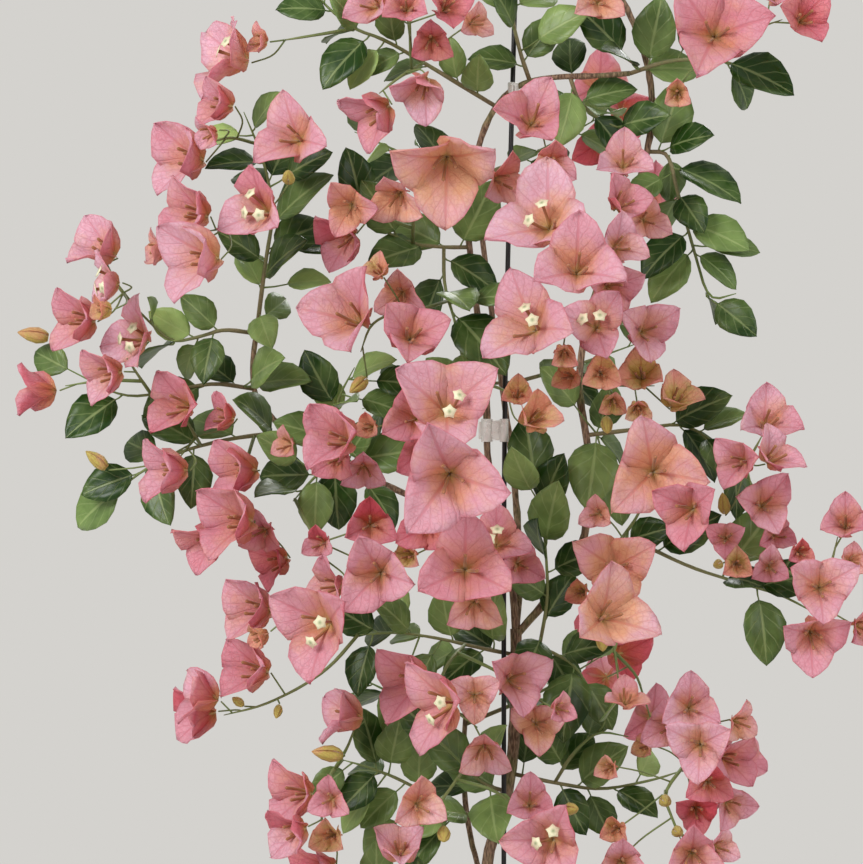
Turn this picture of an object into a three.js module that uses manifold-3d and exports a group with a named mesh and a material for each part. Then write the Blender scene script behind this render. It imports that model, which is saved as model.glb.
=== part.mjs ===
// A potted bougainvillea trained up a thin steel stake.
// Millimetres, +Z up, the middle of the pot's foot at the origin, the shown side facing -Y.
import * as THREE from "three";
import { mergeVertices } from "three/addons/utils/BufferGeometryUtils.js";
import Module from "manifold-3d";

const wasm = await Module();
wasm.setup();

// Driving dimensions
const POT_HEIGHT = 190;
const POT_TOP_RADIUS = 110;
const POT_FOOT_RADIUS = 76;
const POT_WALL = 8;
const POT_RIM_HEIGHT = 30;
const POT_RIM_REACH = 5;
const SOIL_TOP = 170;
const SOIL_CROWN = 6;
const STAKE_RADIUS = 1.6;
const CLIP_WIDTH = 11;
const CLIP_HEIGHT = 8;
const LOW_CLIP_HEIGHT = 17;
const SEAT_GAP = 0.3;
const WELD = 0.001;
const SLIVER = 0.08;
const LEAFY_STEM_RADIUS = 1.5;
const SPRAY_STEM_RADIUS = 1.35;
const TWIG_RADIUS = 0.75;
const PEDICEL_RADIUS = 0.65;
const FLOWER_TUBE_RADIUS = 1.4;
// Bracts and leaves thin out from their midrib to a fine rim
const LEAF_THICKNESS = 1.7;
const BACK_STEP = 1.8;
const POT_SIDES = 24;
const WOODY_SIDES = 5;
const LEAFY_SIDES = 3;
const SPRAY_SIDES = 3;

// Steps of a stem between two points of its route
const WOODY_STEPS = 1;
const LEAFY_STEPS = 1;
const SPRAY_STEPS = 1;

// Places are given as they look from the front, from SIGHT, in the upright plane of the stake.
// Each one has a depth behind that plane, and is carried to it along the line of sight.
const SIGHT = new THREE.Vector3(-50, -1700, 570);
const CORE_FRONT = -12;
const BULGE = 1.1;
const BULGE_MIDDLE = -30;
const BULGE_WIDTH = 150;

// Shares of a bract's length at which its outline has points, and its half width there
const SHOULDER_SHARE = 0.55;
const NOTCH_SHARE = 0.4;
const OPEN_ANGLE = { m: 50, p: 54, d: 47, s: 56, c: 43, y: 40 };
const OPEN_BEND = 38;
const CUP = 0.1;
const LENGTH_PER_SPAN = { m: 0.7, p: 0.68, d: 0.7, s: 0.68, c: 0.8, y: 0.74 };
const SHORT_STALK = 28;
const STALK_SPACING = 3;
const SMALL_BLOOM = 36;
const SMALL_LEAF = 41;
const LEAF_SETBACK = 0.25;
const LEAF_STALK_SHARE = 0.12;
const FOOT_CLEAR = 7;

// How far the placing keeps blades and stems from what is already there
const BLADE_NEED = 2.8;
const STEM_NEED = 1.3;
const BLOOM_DEPTHS = [0, -5, 5, -10, 10, -15, 15, -20, 20, -26, 26, -32, 32, -40, 40];
const LEAF_DEPTHS = [-6, 0, -12, 6, -18, 12, -24, 18, -32, 26];
const LEAF_TURNS = 9;

const STAKE_ROUTE = [[-3, 0, 24], [-3, 0, 300], [-3, 0, 565], [0, 0, 700], [4, 0, 840], [5.5, 0, 905]];

// Woody stems: name, radius, route of [x, depth, z]
const WOODY_STEMS = [
  ["trunk", 3.6, [[-2, 9, 60], [-6, 9, 150], [-13, 9, 230], [-15, 9, 290], [-8, 9, 312], [2, 9, 345],
    [5, 9, 395], [5, 9, 442]]],
  ["right", 2.6, [[5, 9, 438], [20, 8, 455], [38, 6, 475], [50, 4, 500], [52, 4, 530], [52, 4, 560],
    [48, 6, 582], [45, 8, 604], [52, 10, 650], [72, 10, 700], [90, 10, 745], [95, 8, 790], [84, 6, 832],
    [68, 4, 862]]],
  ["centre", 2.4, [[5, 9, 436], [3, 11, 470], [-4, 9, 506], [-12, 3, 540], [-14, 2, 558], [-14, 2, 584],
    [-15, 4, 610], [-22, 8, 660], [-28, 8, 715], [-19, 2, 760], [-8, -5, 783], [6, -7, 796], [29, -8, 801],
    [50, -10, 801], [79, -10, 803]]],
  ["left", 2.2, [[-4, 9, 506], [-50, 4, 522], [-100, 0, 545], [-145, -4, 570], [-165, -6, 592],
    [-167, -6, 612], [-163, -8, 640]]],
  ["back", 2.3, [[5, 9, 440], [8, 22, 480], [4, 36, 540], [-4, 44, 600], [-14, 48, 670], [-23, 45, 748]]],
  ["low_back", 2.0, [[-14, 9, 270], [-25, 24, 305], [-30, 38, 345], [-28, 44, 385]]],
];

// Leafy stems: name, woody stem, routes, marked leaves of [x, z, length], leaves placed by rule
const LEAFY_STEMS = [
  ["leafy_stem_upper_left", "centre",
    [[[-9, -5, 782], [-50, -16, 807], [-80, -22, 825], [-101, -24, 832], [-120, -26, 848],
      [-134, -26, 866]]],
    [[-108, 810, 46], [-95, 806, 34], [-80, 811, 30], [-102, 838, 34], [-130, 845, 36], [-65, 805, 32],
      [-75, 832, 34], [-35, 808, 30], [-118, 862, 34],
      [-20, 800, 34]], 1],
  ["leafy_stem_arch_end", "centre",
    [[[79, -10, 803], [105, -16, 812], [135, -20, 812], [152, -22, 808]]],
    [[155, 805, 52], [95, 830, 46], [60, 832, 44], [72, 815, 40], [120, 832, 36],
      [98, 806, 42], [152, 792, 40]], 1],
  ["leafy_stem_arch_middle", "centre",
    [[[40, -9, 801], [45, -2, 785], [60, 6, 772], [80, 8, 765]]],
    [[40, 785, 42], [65, 790, 38], [60, 770, 38], [84, 772, 40], [40, 816, 38]], 1],
  ["leafy_stem_top_right", "right",
    [[[92, 10, 752], [104, 4, 752], [110, 0, 725], [120, -4, 690], [130, -6, 655], [148, -8, 660]]],
    [[105, 775, 48], [118, 760, 40], [125, 735, 52], [105, 740, 34], [88, 728, 32], [115, 718, 36],
      [132, 700, 46], [148, 690, 36], [100, 685, 44], [130, 680, 36], [145, 646, 38],
      [107, 674, 44]], 2],
  ["leafy_stem_crown", "centre",
    [[[14, -7, 798], [8, -12, 815], [2, -14, 840], [6, -14, 868], [14, -12, 895]]],
    [[-10, 812, 36], [0, 840, 38], [35, 835, 42], [18, 822, 36],
      [20, 852, 38], [40, 878, 40]], 6],
  ["leafy_stem_left_top", "left",
    [[[-163, -8, 640], [-158, -10, 680], [-152, -12, 715], [-160, -14, 750], [-172, -22, 778]]],
    [[-180, 745, 38], [-160, 776, 34], [-188, 762, 30], [-150, 745, 44], [-130, 745, 38], [-138, 720, 52],
      [-140, 697, 44], [-175, 692, 36], [-150, 680, 48], [-165, 672, 36], [-130, 668, 32],
      [-121, 690, 40],
      [-141, 679, 42], [-159, 638, 34]], 1],
  ["leafy_stem_left_side", "left",
    [[[-164, -8, 634], [-185, -14, 637], [-200, -18, 632], [-218, -22, 628], [-232, -26, 640],
      [-246, -28, 655]]],
    [[-200, 647, 34], [-214, 637, 34], [-195, 620, 36], [-208, 615, 32], [-232, 650, 26], [-150, 652, 32],
      [-140, 642, 30]], 1],
  ["leafy_stem_left_middle", "left",
    [[[-166, -6, 598], [-190, -12, 602], [-215, -18, 598], [-245, -22, 592], [-268, -26, 600]]],
    [[-185, 607, 38], [-207, 596, 46], [-267, 583, 46], [-298, 617, 36], [-158, 612, 44],
      [-146, 604, 42],
      [-146, 605, 40]], 1],
  ["leafy_stem_left_low", "left",
    [[[-145, -4, 570], [-180, -10, 566], [-212, -16, 558], [-238, -20, 545], [-256, -22, 530]]],
    [[-160, 578, 46], [-215, 570, 46], [-240, 560, 38], [-190, 573, 42], [-205, 540, 40], [-250, 540, 40],
      [-268, 521, 50], [-226, 526, 40]], 1],
  ["leafy_stem_centre_left", "left",
    [[[-100, 0, 545], [-112, -8, 565], [-112, -14, 590], [-100, -18, 612]],
      [[-108, -5, 556], [-125, -14, 542], [-140, -18, 525]]],
    [[-122, 603, 42], [-115, 588, 34], [-90, 612, 36], [-70, 602, 36], [-80, 587, 36], [-136, 572, 38],
      [-98, 563, 34], [-75, 556, 46], [-125, 530, 38], [-150, 560, 36], [-152, 532, 38], [-112, 528, 46],
      [-82, 522, 38],
      [-145, 542, 44], [-149, 520, 40]], 1],
  ["leafy_stem_centre_top", "centre",
    [[[-26, 8, 690], [-42, 0, 690], [-62, -8, 692], [-84, -14, 702], [-102, -16, 716]],
      [[-42, 0, 690], [-42, -8, 665], [-34, -14, 640], [-30, -16, 615]]],
    [[-100, 737, 40], [-78, 707, 46], [-65, 688, 46], [-36, 680, 42], [-25, 703, 52], [-50, 655, 52],
      [-26, 637, 58], [-18, 672, 36], [-8, 658, 34], [-28, 612, 36],
      [-34, 658, 44], [-52, 696, 42]], 1],
  ["leafy_stem_right_middle", "right",
    [[[51, 4, 568], [85, 0, 572], [115, -6, 576], [138, -12, 560], [152, -16, 545]]],
    [[120, 583, 46], [132, 560, 40], [147, 540, 38], [62, 583, 38], [33, 600, 38], [55, 548, 54],
      [68, 558, 38], [70, 530, 48],
      [117, 567, 44]], 1],
  ["leafy_stem_right_low", "right",
    [[[50, 4, 500], [85, -2, 498], [118, -8, 482], [150, -14, 472], [178, -18, 464], [200, -20, 452]]],
    [[115, 504, 48], [86, 502, 36], [160, 504, 50], [172, 472, 42], [150, 474, 38], [166, 440, 48]], 1],
  ["leafy_stem_low_centre", "trunk",
    [[[5, 9, 425], [-20, 0, 430], [-45, -8, 436], [-72, -14, 440], [-98, -18, 438]]],
    [[-10, 452, 50], [-25, 422, 38], [-46, 422, 38], [-40, 449, 38], [-70, 446, 38], [-76, 462, 36],
      [-94, 445, 38], [-95, 415, 38], [-74, 392, 40], [-58, 410, 40],
      [-85, 440, 36], [-20, 436, 40]], 1],
  ["leafy_stem_low_right_of_centre", "trunk",
    [[[5, 9, 434], [22, 3, 430], [42, -3, 420], [54, -8, 402]],
      [[20, 3, 431], [26, -4, 462], [24, -10, 498], [20, -12, 530]]],
    [[15, 470, 38], [28, 455, 38], [20, 434, 40], [46, 428, 40], [40, 402, 52], [60, 392, 38],
      [45, 488, 38],
      [26, 507, 48], [27, 535, 40], [14, 560, 48], [8, 545, 38], [-8, 527, 36],
      [21, 497, 42], [32, 418, 38]], 1],
  ["leafy_stem_low_left", "trunk",
    [[[-8, 9, 312], [-40, 0, 328], [-72, -10, 345], [-90, -14, 352], [-108, -18, 357]]],
    [[-58, 354, 38], [-90, 370, 42], [-74, 368, 40], [-96, 338, 36], [-100, 322, 34], [-85, 325, 38],
      [-84, 306, 36], [-118, 342, 30], [-50, 318, 40], [-56, 298, 38], [-32, 322, 36]], 1],
  ["leafy_stem_low_right", "trunk",
    [[[3, 9, 348], [30, 2, 342], [60, -6, 337], [95, -12, 344], [113, -16, 350]],
      [[30, 2, 342], [42, -6, 362], [58, -10, 376], [78, -14, 372]]],
    [[56, 350, 46], [40, 328, 38], [78, 333, 36], [60, 320, 36], [28, 366, 44], [12, 368, 38],
      [56, 385, 38],
      [68, 392, 36], [90, 356, 32],
      [39, 355, 38]], 1],
  ["leafy_stem_low_front", "trunk",
    [[[0, 9, 336], [-14, 2, 340], [-22, -10, 346], [-28, -20, 352]]],
    [[-34, 358, 46], [-14, 343, 46], [-10, 320, 48], [-40, 340, 38], [-60, 384, 40]], 1],
  ["leafy_stem_below", "trunk",
    [[[-14, 9, 240], [-40, 0, 250], [-68, -8, 260], [-92, -14, 272]],
      [[-36, 1, 249], [-18, -16, 256], [18, -18, 262], [50, -16, 274]]],
    [[-60, 276, 42], [30, 284, 42]], 7],
  ["leafy_stem_back_top", "back",
    [[[-22, 44, 735], [20, 58, 752], [60, 62, 775]], [[-14, 47, 738], [-55, 58, 745], [-100, 54, 765]]],
    [], 11],
  ["leafy_stem_back_middle", "back",
    [[[-4, 44, 600], [40, 60, 612], [85, 60, 628]], [[4, 48, 602], [-50, 64, 600], [-95, 58, 585]]],
    [], 9],
  ["leafy_stem_back_low", "low_back",
    [[[-28, 43, 380], [20, 56, 400], [60, 58, 424]], [[-20, 46, 384], [-65, 56, 395], [-100, 52, 412]]],
    [], 9],
];

// Sprays of blooms: name, stem, routes, blooms of [x, z, depth, span, yaw, pitch, kind, roll].
// Yaw turns from the shown side to the right, pitch upward. Kinds: m, p and d are open blooms,
// s an open one with its true flowers out, c a half-open one, y a young one, b a bud.
const SPRAYS = [
  ["blooms_upper_left_tip", "leafy_stem_upper_left",
    [[[-101, -24, 832], [-125, -28, 828], [-150, -30, 824]]],
    [[-181, 814, -30, 60, -65, 12, "s", 60], [-161, 824, -38, 22, -60, 0, "p", 0]]],
  ["blooms_upper_left", "leafy_stem_upper_left",
    [[[-55, -17, 810], [-72, -28, 800], [-84, -30, 790]], [[-63, -22, 806], [-64, -30, 826],
      [-64, -30, 845]]],
    [[-84, 778, -38, 42, -55, -30, "c", 80], [-55, 795, -42, 38, -15, -45, "c", 60],
      [-88, 848, -36, 36, -30, 10, "m", 0], [-66, 846, -46, 34, 0, 10, "d", 0],
      [-40, 846, -40, 36, 20, 10, "d", 60], [-50, 824, -34, 32, 0, -25, "d", 0],
      [-22, 836, -34, 25, 30, 0, "p", 0]]],
  ["blooms_left_top", "leafy_stem_left_top",
    [[[-163, -16, 757], [-180, -30, 762], [-195, -34, 758]]],
    [[-185, 783, -38, 32, -50, 5, "c", 100], [-194, 764, -48, 24, -60, -20, "m", 0],
      [-140, 762, -44, 50, -25, 10, "m", 350], [-207, 748, -42, 49, -50, 8, "c", 80]]],
  ["blooms_left_upper", "leafy_stem_left_top",
    [[[-155, -12, 706], [-175, -26, 704], [-198, -32, 700]]],
    [[-163, 715, -48, 50, -40, 10, "s", 0], [-203, 712, -40, 43, -50, 8, "c", 100],
      [-198, 683, -44, 54, -48, 0, "c", 70], [-228, 688, -40, 26, -75, 0, "p", 0],
      [-143, 736, -56, 15, 0, 20, "b", 0]]],
  ["blooms_far_left_top", "leafy_stem_left_side",
    [[[-246, -28, 655], [-256, -34, 668], [-262, -36, 682]]],
    [[-262, 689, -38, 42, -50, 30, "c", 80], [-261, 667, -46, 38, -70, 0, "s", 0],
      [-276, 643, -38, 42, -45, 5, "c", 95], [-262, 650, -56, 20, -60, 0, "y", 0],
      [-309, 633, -34, 20, -80, 10, "b", 0]]],
  ["blooms_far_left", "leafy_stem_left_middle",
    [[[-232, -21, 594], [-240, -32, 606], [-248, -34, 618]], [[-238, -29, 603], [-262, -32, 604],
      [-288, -30, 600]]],
    [[-243, 631, -46, 49, -45, 5, "s", 20], [-258, 608, -42, 37, -48, -8, "c", 85],
      [-302, 597, -30, 38, -85, 0, "c", 30]]],
  ["blooms_left_middle", "leafy_stem_left_low",
    [[[-200, -14, 562], [-206, -28, 572], [-212, -32, 582]], [[-203, -21, 567], [-215, -30, 552]]],
    [[-214, 587, -40, 46, -45, 5, "m", 90], [-184, 580, -42, 30, -60, 10, "d", 100],
      [-217, 545, -46, 42, -58, 0, "c", 90], [-268, 552, -34, 17, -80, 40, "b", 0]]],
  ["blooms_left_low", "leafy_stem_left_low",
    [[[-165, -7, 567], [-172, -24, 545], [-178, -32, 525], [-178, -34, 508]]],
    [[-171, 545, -38, 42, -50, 0, "c", 80], [-175, 512, -46, 50, -45, 5, "c", 70],
      [-195, 500, -40, 38, -50, -25, "c", 80], [-160, 505, -50, 32, -20, -10, "d", 0],
      [-150, 486, -42, 38, -50, -10, "d", 60]]],
  ["blooms_centre_left_low", "leafy_stem_centre_left",
    [[[-138, -18, 526], [-128, -30, 505], [-115, -34, 482], [-125, -36, 462]]],
    [[-122, 498, -44, 24, -30, 0, "d", 0], [-90, 510, -40, 36, 0, 5, "d", 0],
      [-115, 470, -44, 36, -50, 0, "m", 0], [-85, 478, -52, 52, -10, 0, "m", 100],
      [-124, 444, -56, 62, -35, -5, "s", 180], [-162, 455, -40, 44, -48, 10, "c", 75],
      [-160, 438, -46, 20, -60, -20, "y", 0]]],
  ["blooms_low_left_out", "leafy_stem_low_centre",
    [[[-98, -18, 438], [-115, -26, 418], [-135, -28, 404], [-160, -30, 392], [-185, -30, 386]]],
    [[-164, 415, -34, 44, -52, 10, "c", 85], [-196, 398, -38, 38, -65, 20, "c", 60],
      [-198, 387, -28, 40, -60, -5, "c", 100], [-176, 395, -36, 11, -40, 30, "b", 0],
      [-150, 388, -32, 11, -10, -40, "b", 0]]],
  ["blooms_low_left", "leafy_stem_low_left",
    [[[-108, -18, 357], [-118, -28, 345], [-122, -30, 325], [-120, -32, 305]],
      [[-113, -23, 351], [-104, -28, 366], [-100, -28, 378]]],
    [[-103, 385, -34, 40, -70, 15, "c", 50], [-118, 361, -42, 20, -70, 10, "b", 0],
      [-135, 335, -40, 42, -48, 5, "c", 85], [-116, 331, -50, 28, -15, 0, "m", 0],
      [-138, 311, -42, 36, -50, -10, "c", 95], [-115, 308, -54, 28, -20, 0, "y", 0],
      [-120, 285, -42, 42, -45, -10, "c", 80]]],
  ["blooms_low_front", "leafy_stem_low_front",
    [[[-28, -20, 352], [-38, -30, 338], [-50, -34, 322], [-60, -36, 308]],
      [[-33, -26, 345], [-10, -36, 338], [8, -36, 325], [20, -38, 314]]],
    [[-58, 328, -46, 36, 15, 5, "p", 0], [-70, 298, -44, 34, 0, 40, "c", 60],
      [-42, 308, -44, 16, 0, -20, "b", 0], [14, 329, -44, 34, 0, 25, "m", 0],
      [26, 304, -52, 52, -20, 0, "s", 30], [41, 325, -44, 15, 30, 10, "b", 0]]],
  ["blooms_top_centre", "leafy_stem_centre_top",
    [[[-62, -8, 692], [-62, -24, 710], [-55, -32, 722], [-30, -32, 732]],
      [[-61, -18, 704], [-84, -28, 710], [-98, -32, 708]]],
    [[-41, 742, -52, 69, -5, -35, "p", 180], [-73, 722, -38, 38, -25, -35, "p", 0],
      [-4, 733, -36, 36, 40, -15, "p", 0], [-103, 716, -42, 36, -10, -20, "p", 90],
      [-105, 696, -46, 38, -40, -20, "c", 90]]],
  ["blooms_arch", "centre",
    [[[14, -7, 799], [18, -22, 787], [24, -26, 768]]],
    [[15, 774, -36, 50, 0, 20, "m", 30], [28, 745, -38, 32, 10, -20, "p", 0]]],
  ["blooms_right_top", "right",
    [[[74, 10, 706], [77, -10, 715], [76, -24, 726]]],
    [[75, 746, -34, 38, 0, 25, "m", 0], [74, 719, -44, 36, 30, 25, "m", 330],
      [89, 708, -34, 32, 10, 0, "p", 0],
      [72, 691, -52, 36, 20, 10, "m", 0]]],
  ["blooms_centre_top", "right",
    [[[60, 10, 672], [52, -10, 682], [40, -26, 695], [28, -32, 705]]],
    [[23, 709, -54, 66, -20, 25, "s", 0], [45, 678, -62, 58, 0, 20, "m", 0],
      [67, 664, -46, 40, 20, -10, "m", 60]]],
  ["blooms_centre_upper", "right",
    [[[51, 9, 643], [45, -14, 642], [32, -28, 640]], [[46, -8, 642], [65, -26, 641], [82, -30, 640]]],
    [[12, 640, -54, 62, -30, 15, "s", 100], [56, 640, -60, 44, -10, 15, "s", 40],
      [89, 636, -44, 42, 15, 5, "m", 60], [36, 622, -62, 22, 0, -30, "y", 0]]],
  ["blooms_young_right", "right",
    [[[45, 8, 604], [56, -12, 602], [74, -24, 600], [95, -28, 600]]],
    [[40, 606, -40, 22, -30, 0, "y", 0], [60, 608, -46, 28, 0, 0, "y", 0],
      [86, 607, -48, 34, -10, 20, "y", 0],
      [68, 590, -36, 20, 0, -30, "y", 0], [84, 586, -44, 20, 0, -30, "y", 0],
      [108, 591, -38, 34, 20, 40, "y", 0], [64, 574, -44, 15, 0, -40, "b", 0]]],
  ["blooms_centre_middle_left", "leafy_stem_centre_top",
    [[[-40, -11, 655], [-55, -26, 650], [-75, -34, 648], [-90, -36, 640], [-96, -36, 622]]],
    [[-103, 645, -48, 62, -35, 20, "m", 30], [-84, 674, -44, 22, -30, 30, "y", 0],
      [-70, 659, -44, 34, -10, -20, "p", 0], [-63, 632, -54, 42, 10, 15, "c", 75],
      [-98, 600, -40, 17, -40, -30, "b", 0]]],
  ["blooms_centre", "centre",
    [[[-15, 4, 605], [-28, -18, 598], [-40, -28, 590], [-54, -32, 574]],
      [[-20, -5, 602], [-4, -26, 598], [8, -30, 590]]],
    [[-40, 588, -56, 66, 0, 25, "s", 180], [-61, 579, -62, 42, -10, 5, "d", 0],
      [-57, 556, -48, 36, -5, -20, "d", 0],
      [-90, 573, -48, 20, -30, 0, "y", 0], [6, 594, -42, 24, 0, 20, "y", 0],
      [16, 578, -48, 36, 30, 25, "y", 0]]],
  ["blooms_left_inner", "leafy_stem_centre_left",
    [[[-112, -10, 572], [-118, -26, 568], [-122, -32, 560]]],
    [[-109, 565, -46, 46, -35, 10, "c", 85], [-112, 552, -52, 32, -25, -10, "d", 0],
      [-94, 546, -42, 30, 0, -20, "m", 0], [-144, 562, -44, 22, -45, 0, "p", 0]]],
  ["blooms_centre_low", "centre",
    [[[-9, 5, 530], [-22, -16, 526], [-32, -28, 520], [-36, -34, 505], [-34, -38, 485]],
      [[-19, -11, 527], [-8, -28, 512], [0, -32, 495]]],
    [[-38, 540, -56, 70, 0, -10, "m", 100], [-7, 500, -46, 40, 5, 30, "s", 0],
      [-54, 508, -46, 38, -20, 0, "d", 0],
      [7, 484, -44, 34, 10, 0, "m", 0], [-28, 482, -62, 60, 0, 10, "m", 0],
      [-22, 457, -50, 36, 0, -20, "p", 0],
      [-64, 490, -46, 22, -30, 0, "y", 0]]],
  ["blooms_low_centre", "leafy_stem_low_centre",
    [[[-28, -3, 432], [-38, -22, 422], [-45, -32, 408], [-40, -36, 392], [-20, -38, 378]],
      [[-34, -15, 426], [-10, -32, 416], [8, -34, 405], [16, -36, 392]]],
    [[-62, 408, -44, 46, -42, 0, "c", 80], [-45, 393, -56, 56, -50, 0, "s", 200],
      [-22, 399, -48, 33, 0, 5, "p", 60],
      [4, 409, -48, 47, 25, 5, "m", 60], [-16, 362, -44, 36, 0, -30, "p", 0],
      [19, 380, -50, 36, 10, 0, "p", 60],
      [33, 390, -42, 22, 30, 0, "m", 0]]],
  ["blooms_right_centre", "leafy_stem_right_low",
    [[[72, 0, 499], [84, -18, 515], [92, -28, 535]],
      [[77, -9, 506], [76, -26, 490], [74, -32, 465], [66, -32, 440], [72, -32, 414]]],
    [[95, 545, -44, 64, 0, 5, "p", 105], [117, 520, -66, 46, -25, 0, "m", 60],
      [58, 517, -42, 24, -20, 0, "p", 0],
      [70, 482, -46, 54, 0, 5, "p", 60], [66, 452, -54, 58, 25, 20, "p", 0],
      [48, 466, -42, 22, -30, 0, "y", 0],
      [61, 433, -42, 15, 0, -40, "b", 0], [76, 397, -40, 29, 0, 50, "p", 0]]],
  ["blooms_right_upper", "leafy_stem_right_middle",
    [[[152, -16, 545], [158, -26, 555], [165, -30, 568]]],
    [[168, 577, -38, 44, 10, 30, "m", 0], [172, 554, -44, 36, 30, 30, "m", 0],
      [151, 551, -46, 33, -35, 0, "c", 80],
      [166, 523, -42, 41, 5, 10, "m", 40], [140, 524, -38, 15, -20, 60, "b", 0]]],
  ["blooms_far_right", "leafy_stem_right_low",
    [[[200, -20, 452], [204, -28, 466], [210, -32, 485], [214, -32, 502]],
      [[202, -25, 460], [188, -32, 476], [170, -34, 486], [150, -34, 492]]],
    [[174, 503, -42, 27, 10, 10, "m", 0], [141, 501, -42, 26, -10, 5, "m", 60],
      [148, 484, -50, 24, 0, 0, "y", 0],
      [170, 482, -48, 26, 0, 0, "m", 0], [189, 492, -42, 20, 10, 0, "d", 0],
      [136, 484, -40, 12, -20, 0, "b", 0],
      [219, 510, -38, 33, -10, 25, "c", 0], [223, 486, -38, 24, 10, 0, "p", 0],
      [203, 469, -46, 47, 0, 5, "m", 60],
      [197, 437, -46, 48, 0, -15, "m", 60], [229, 443, -38, 30, 30, -10, "m", 0]]],
  ["blooms_top_right", "leafy_stem_arch_end",
    [[[135, -20, 812], [140, -34, 822], [160, -38, 832], [178, -38, 838]],
      [[136, -25, 815], [118, -36, 805], [112, -38, 797]]],
    [[134, 830, -52, 67, -5, 5, "m", 80], [192, 839, -44, 40, 15, 10, "d", 40],
      [172, 854, -42, 28, 10, 20, "m", 0],
      [110, 790, -42, 22, -10, -20, "y", 0]]],
  ["blooms_low_right", "leafy_stem_low_right",
    [[[113, -16, 350], [120, -28, 365], [120, -34, 385], [116, -36, 400]],
      [[116, -22, 356], [132, -32, 350], [142, -34, 340]],
      [[115, -20, 354], [100, -30, 335], [108, -34, 315], [112, -34, 305]]],
    [[118, 391, -46, 42, 0, 10, "m", 0], [124, 366, -54, 42, -10, 0, "m", 60],
      [105, 379, -60, 36, -20, 0, "m", 0],
      [150, 381, -44, 28, 40, -10, "p", 0], [90, 366, -40, 20, -40, 0, "y", 0],
      [66, 352, -38, 20, -30, 0, "y", 0],
      [143, 358, -46, 36, 35, 0, "c", 270], [154, 357, -38, 30, 40, 0, "m", 0],
      [130, 342, -54, 32, 0, 0, "d", 0],
      [144, 328, -42, 32, 20, -10, "m", 90], [122, 324, -46, 32, 0, -10, "d", 60],
      [120, 294, -48, 42, 0, -10, "m", 0],
      [137, 300, -40, 26, 30, 0, "m", 0], [70, 312, -38, 22, -20, 0, "y", 0],
      [102, 330, -42, 15, 0, 0, "b", 0],
      [110, 310, -40, 14, 0, 0, "b", 0], [74, 289, -42, 38, 0, -10, "m", 0]]],
  ["blooms_crown", "leafy_stem_crown",
    [[[14, -12, 895], [16, -20, 905]], [[15, -17, 901], [34, -24, 884], [52, -26, 864]]],
    [[12, 916, -22, 48, 0, 30, "m", 0], [38, 898, -32, 42, 20, 10, "m", 60],
      [-14, 893, -26, 40, -30, 0, "d", 0],
      [58, 850, -34, 34, 0, 0, "p", 0]]],
  ["blooms_below", "leafy_stem_below",
    [[[-92, -14, 272], [-98, -24, 266]], [[-96, -20, 269], [-78, -28, 256]]],
    [[-98, 250, -32, 42, -30, -10, "m", 60], [-68, 244, -40, 40, -10, -10, "m", 0],
      [-118, 262, -30, 34, -60, 0, "d", 0]]],
  ["blooms_back_top", "leafy_stem_back_top",
    [[[60, 62, 775], [68, 72, 785]], [[65, 68, 781], [84, 78, 760], [86, 80, 740]]],
    [[60, 796, 82, 46, 170, 20, "m", 0], [76, 778, 84, 42, 150, 0, "m", 60],
      [60, 758, 90, 40, 190, -10, "d", 0],
      [94, 728, 82, 44, 165, -10, "m", 0]]],
  ["blooms_back_low", "leafy_stem_back_low",
    [[[60, 58, 424], [70, 70, 434]], [[66, 65, 430], [84, 74, 412], [88, 76, 396]]],
    [[60, 444, 80, 46, 170, 20, "m", 0], [74, 426, 82, 42, 150, 0, "d", 60],
      [62, 410, 88, 40, 190, -10, "m", 0],
      [94, 384, 80, 44, 165, -10, "m", 0]]],
];

// Materials
function paint(colour, roughness, metalness = 0) {
  return new THREE.MeshStandardMaterial({ color: colour, roughness, metalness });
}

const CLAY = paint(0xb4694a, 0.85);
const SOIL = paint(0x3b2c22, 0.95);
const STEEL = paint(0x17181a, 0.45, 0.8);
const CLEAR_PLASTIC = paint(0xe6ebe9, 0.15);
const BARK = paint(0x7a5644, 0.8);
const LEAF_GREEN = paint(0x3c5c33, 0.42);
const BRACT_PINK = paint(0xe2828a, 0.6);

// Closed solids
function solidOf(geometry) {
  const bare = geometry.clone();
  bare.deleteAttribute("normal");
  bare.deleteAttribute("uv");
  const joined = mergeVertices(bare, WELD);
  const mesh = new wasm.Mesh({
    numProp: 3,
    vertProperties: new Float32Array(joined.attributes.position.array),
    triVerts: new Uint32Array(joined.index.array),
  });
  return new wasm.Manifold(mesh);
}

function geometryOf(solid) {
  const mesh = solid.getMesh();
  const geometry = new THREE.BufferGeometry();
  geometry.setAttribute("position", new THREE.BufferAttribute(new Float32Array(mesh.vertProperties), 3));
  geometry.setIndex(new THREE.BufferAttribute(new Uint32Array(mesh.triVerts), 1));
  geometry.computeVertexNormals();
  return geometry;
}

// The main body without its finest slivers, once corners closer than the weld are one
function largestBody(solid) {
  const bodies = solidOf(geometryOf(solid)).simplify(SLIVER).decompose();
  return bodies.reduce((best, body) => (body.volume() > best.volume() ? body : best));
}

function fuse(solids) {
  return wasm.Manifold.union(solids);
}

// A curve that passes through the points of a route at even steps
class RouteCurve extends THREE.Curve {
  constructor(points) {
    super();
    this.points = points;
  }

  getPoint(share) {
    const spot = THREE.MathUtils.clamp(share, 0, 1) * (this.points.length - 1);
    const low = Math.min(Math.floor(spot), this.points.length - 2);
    return this.points[low].clone().lerp(this.points[low + 1], spot - low);
  }

  getUtoTmapping(share) {
    return share;
  }
}

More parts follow.
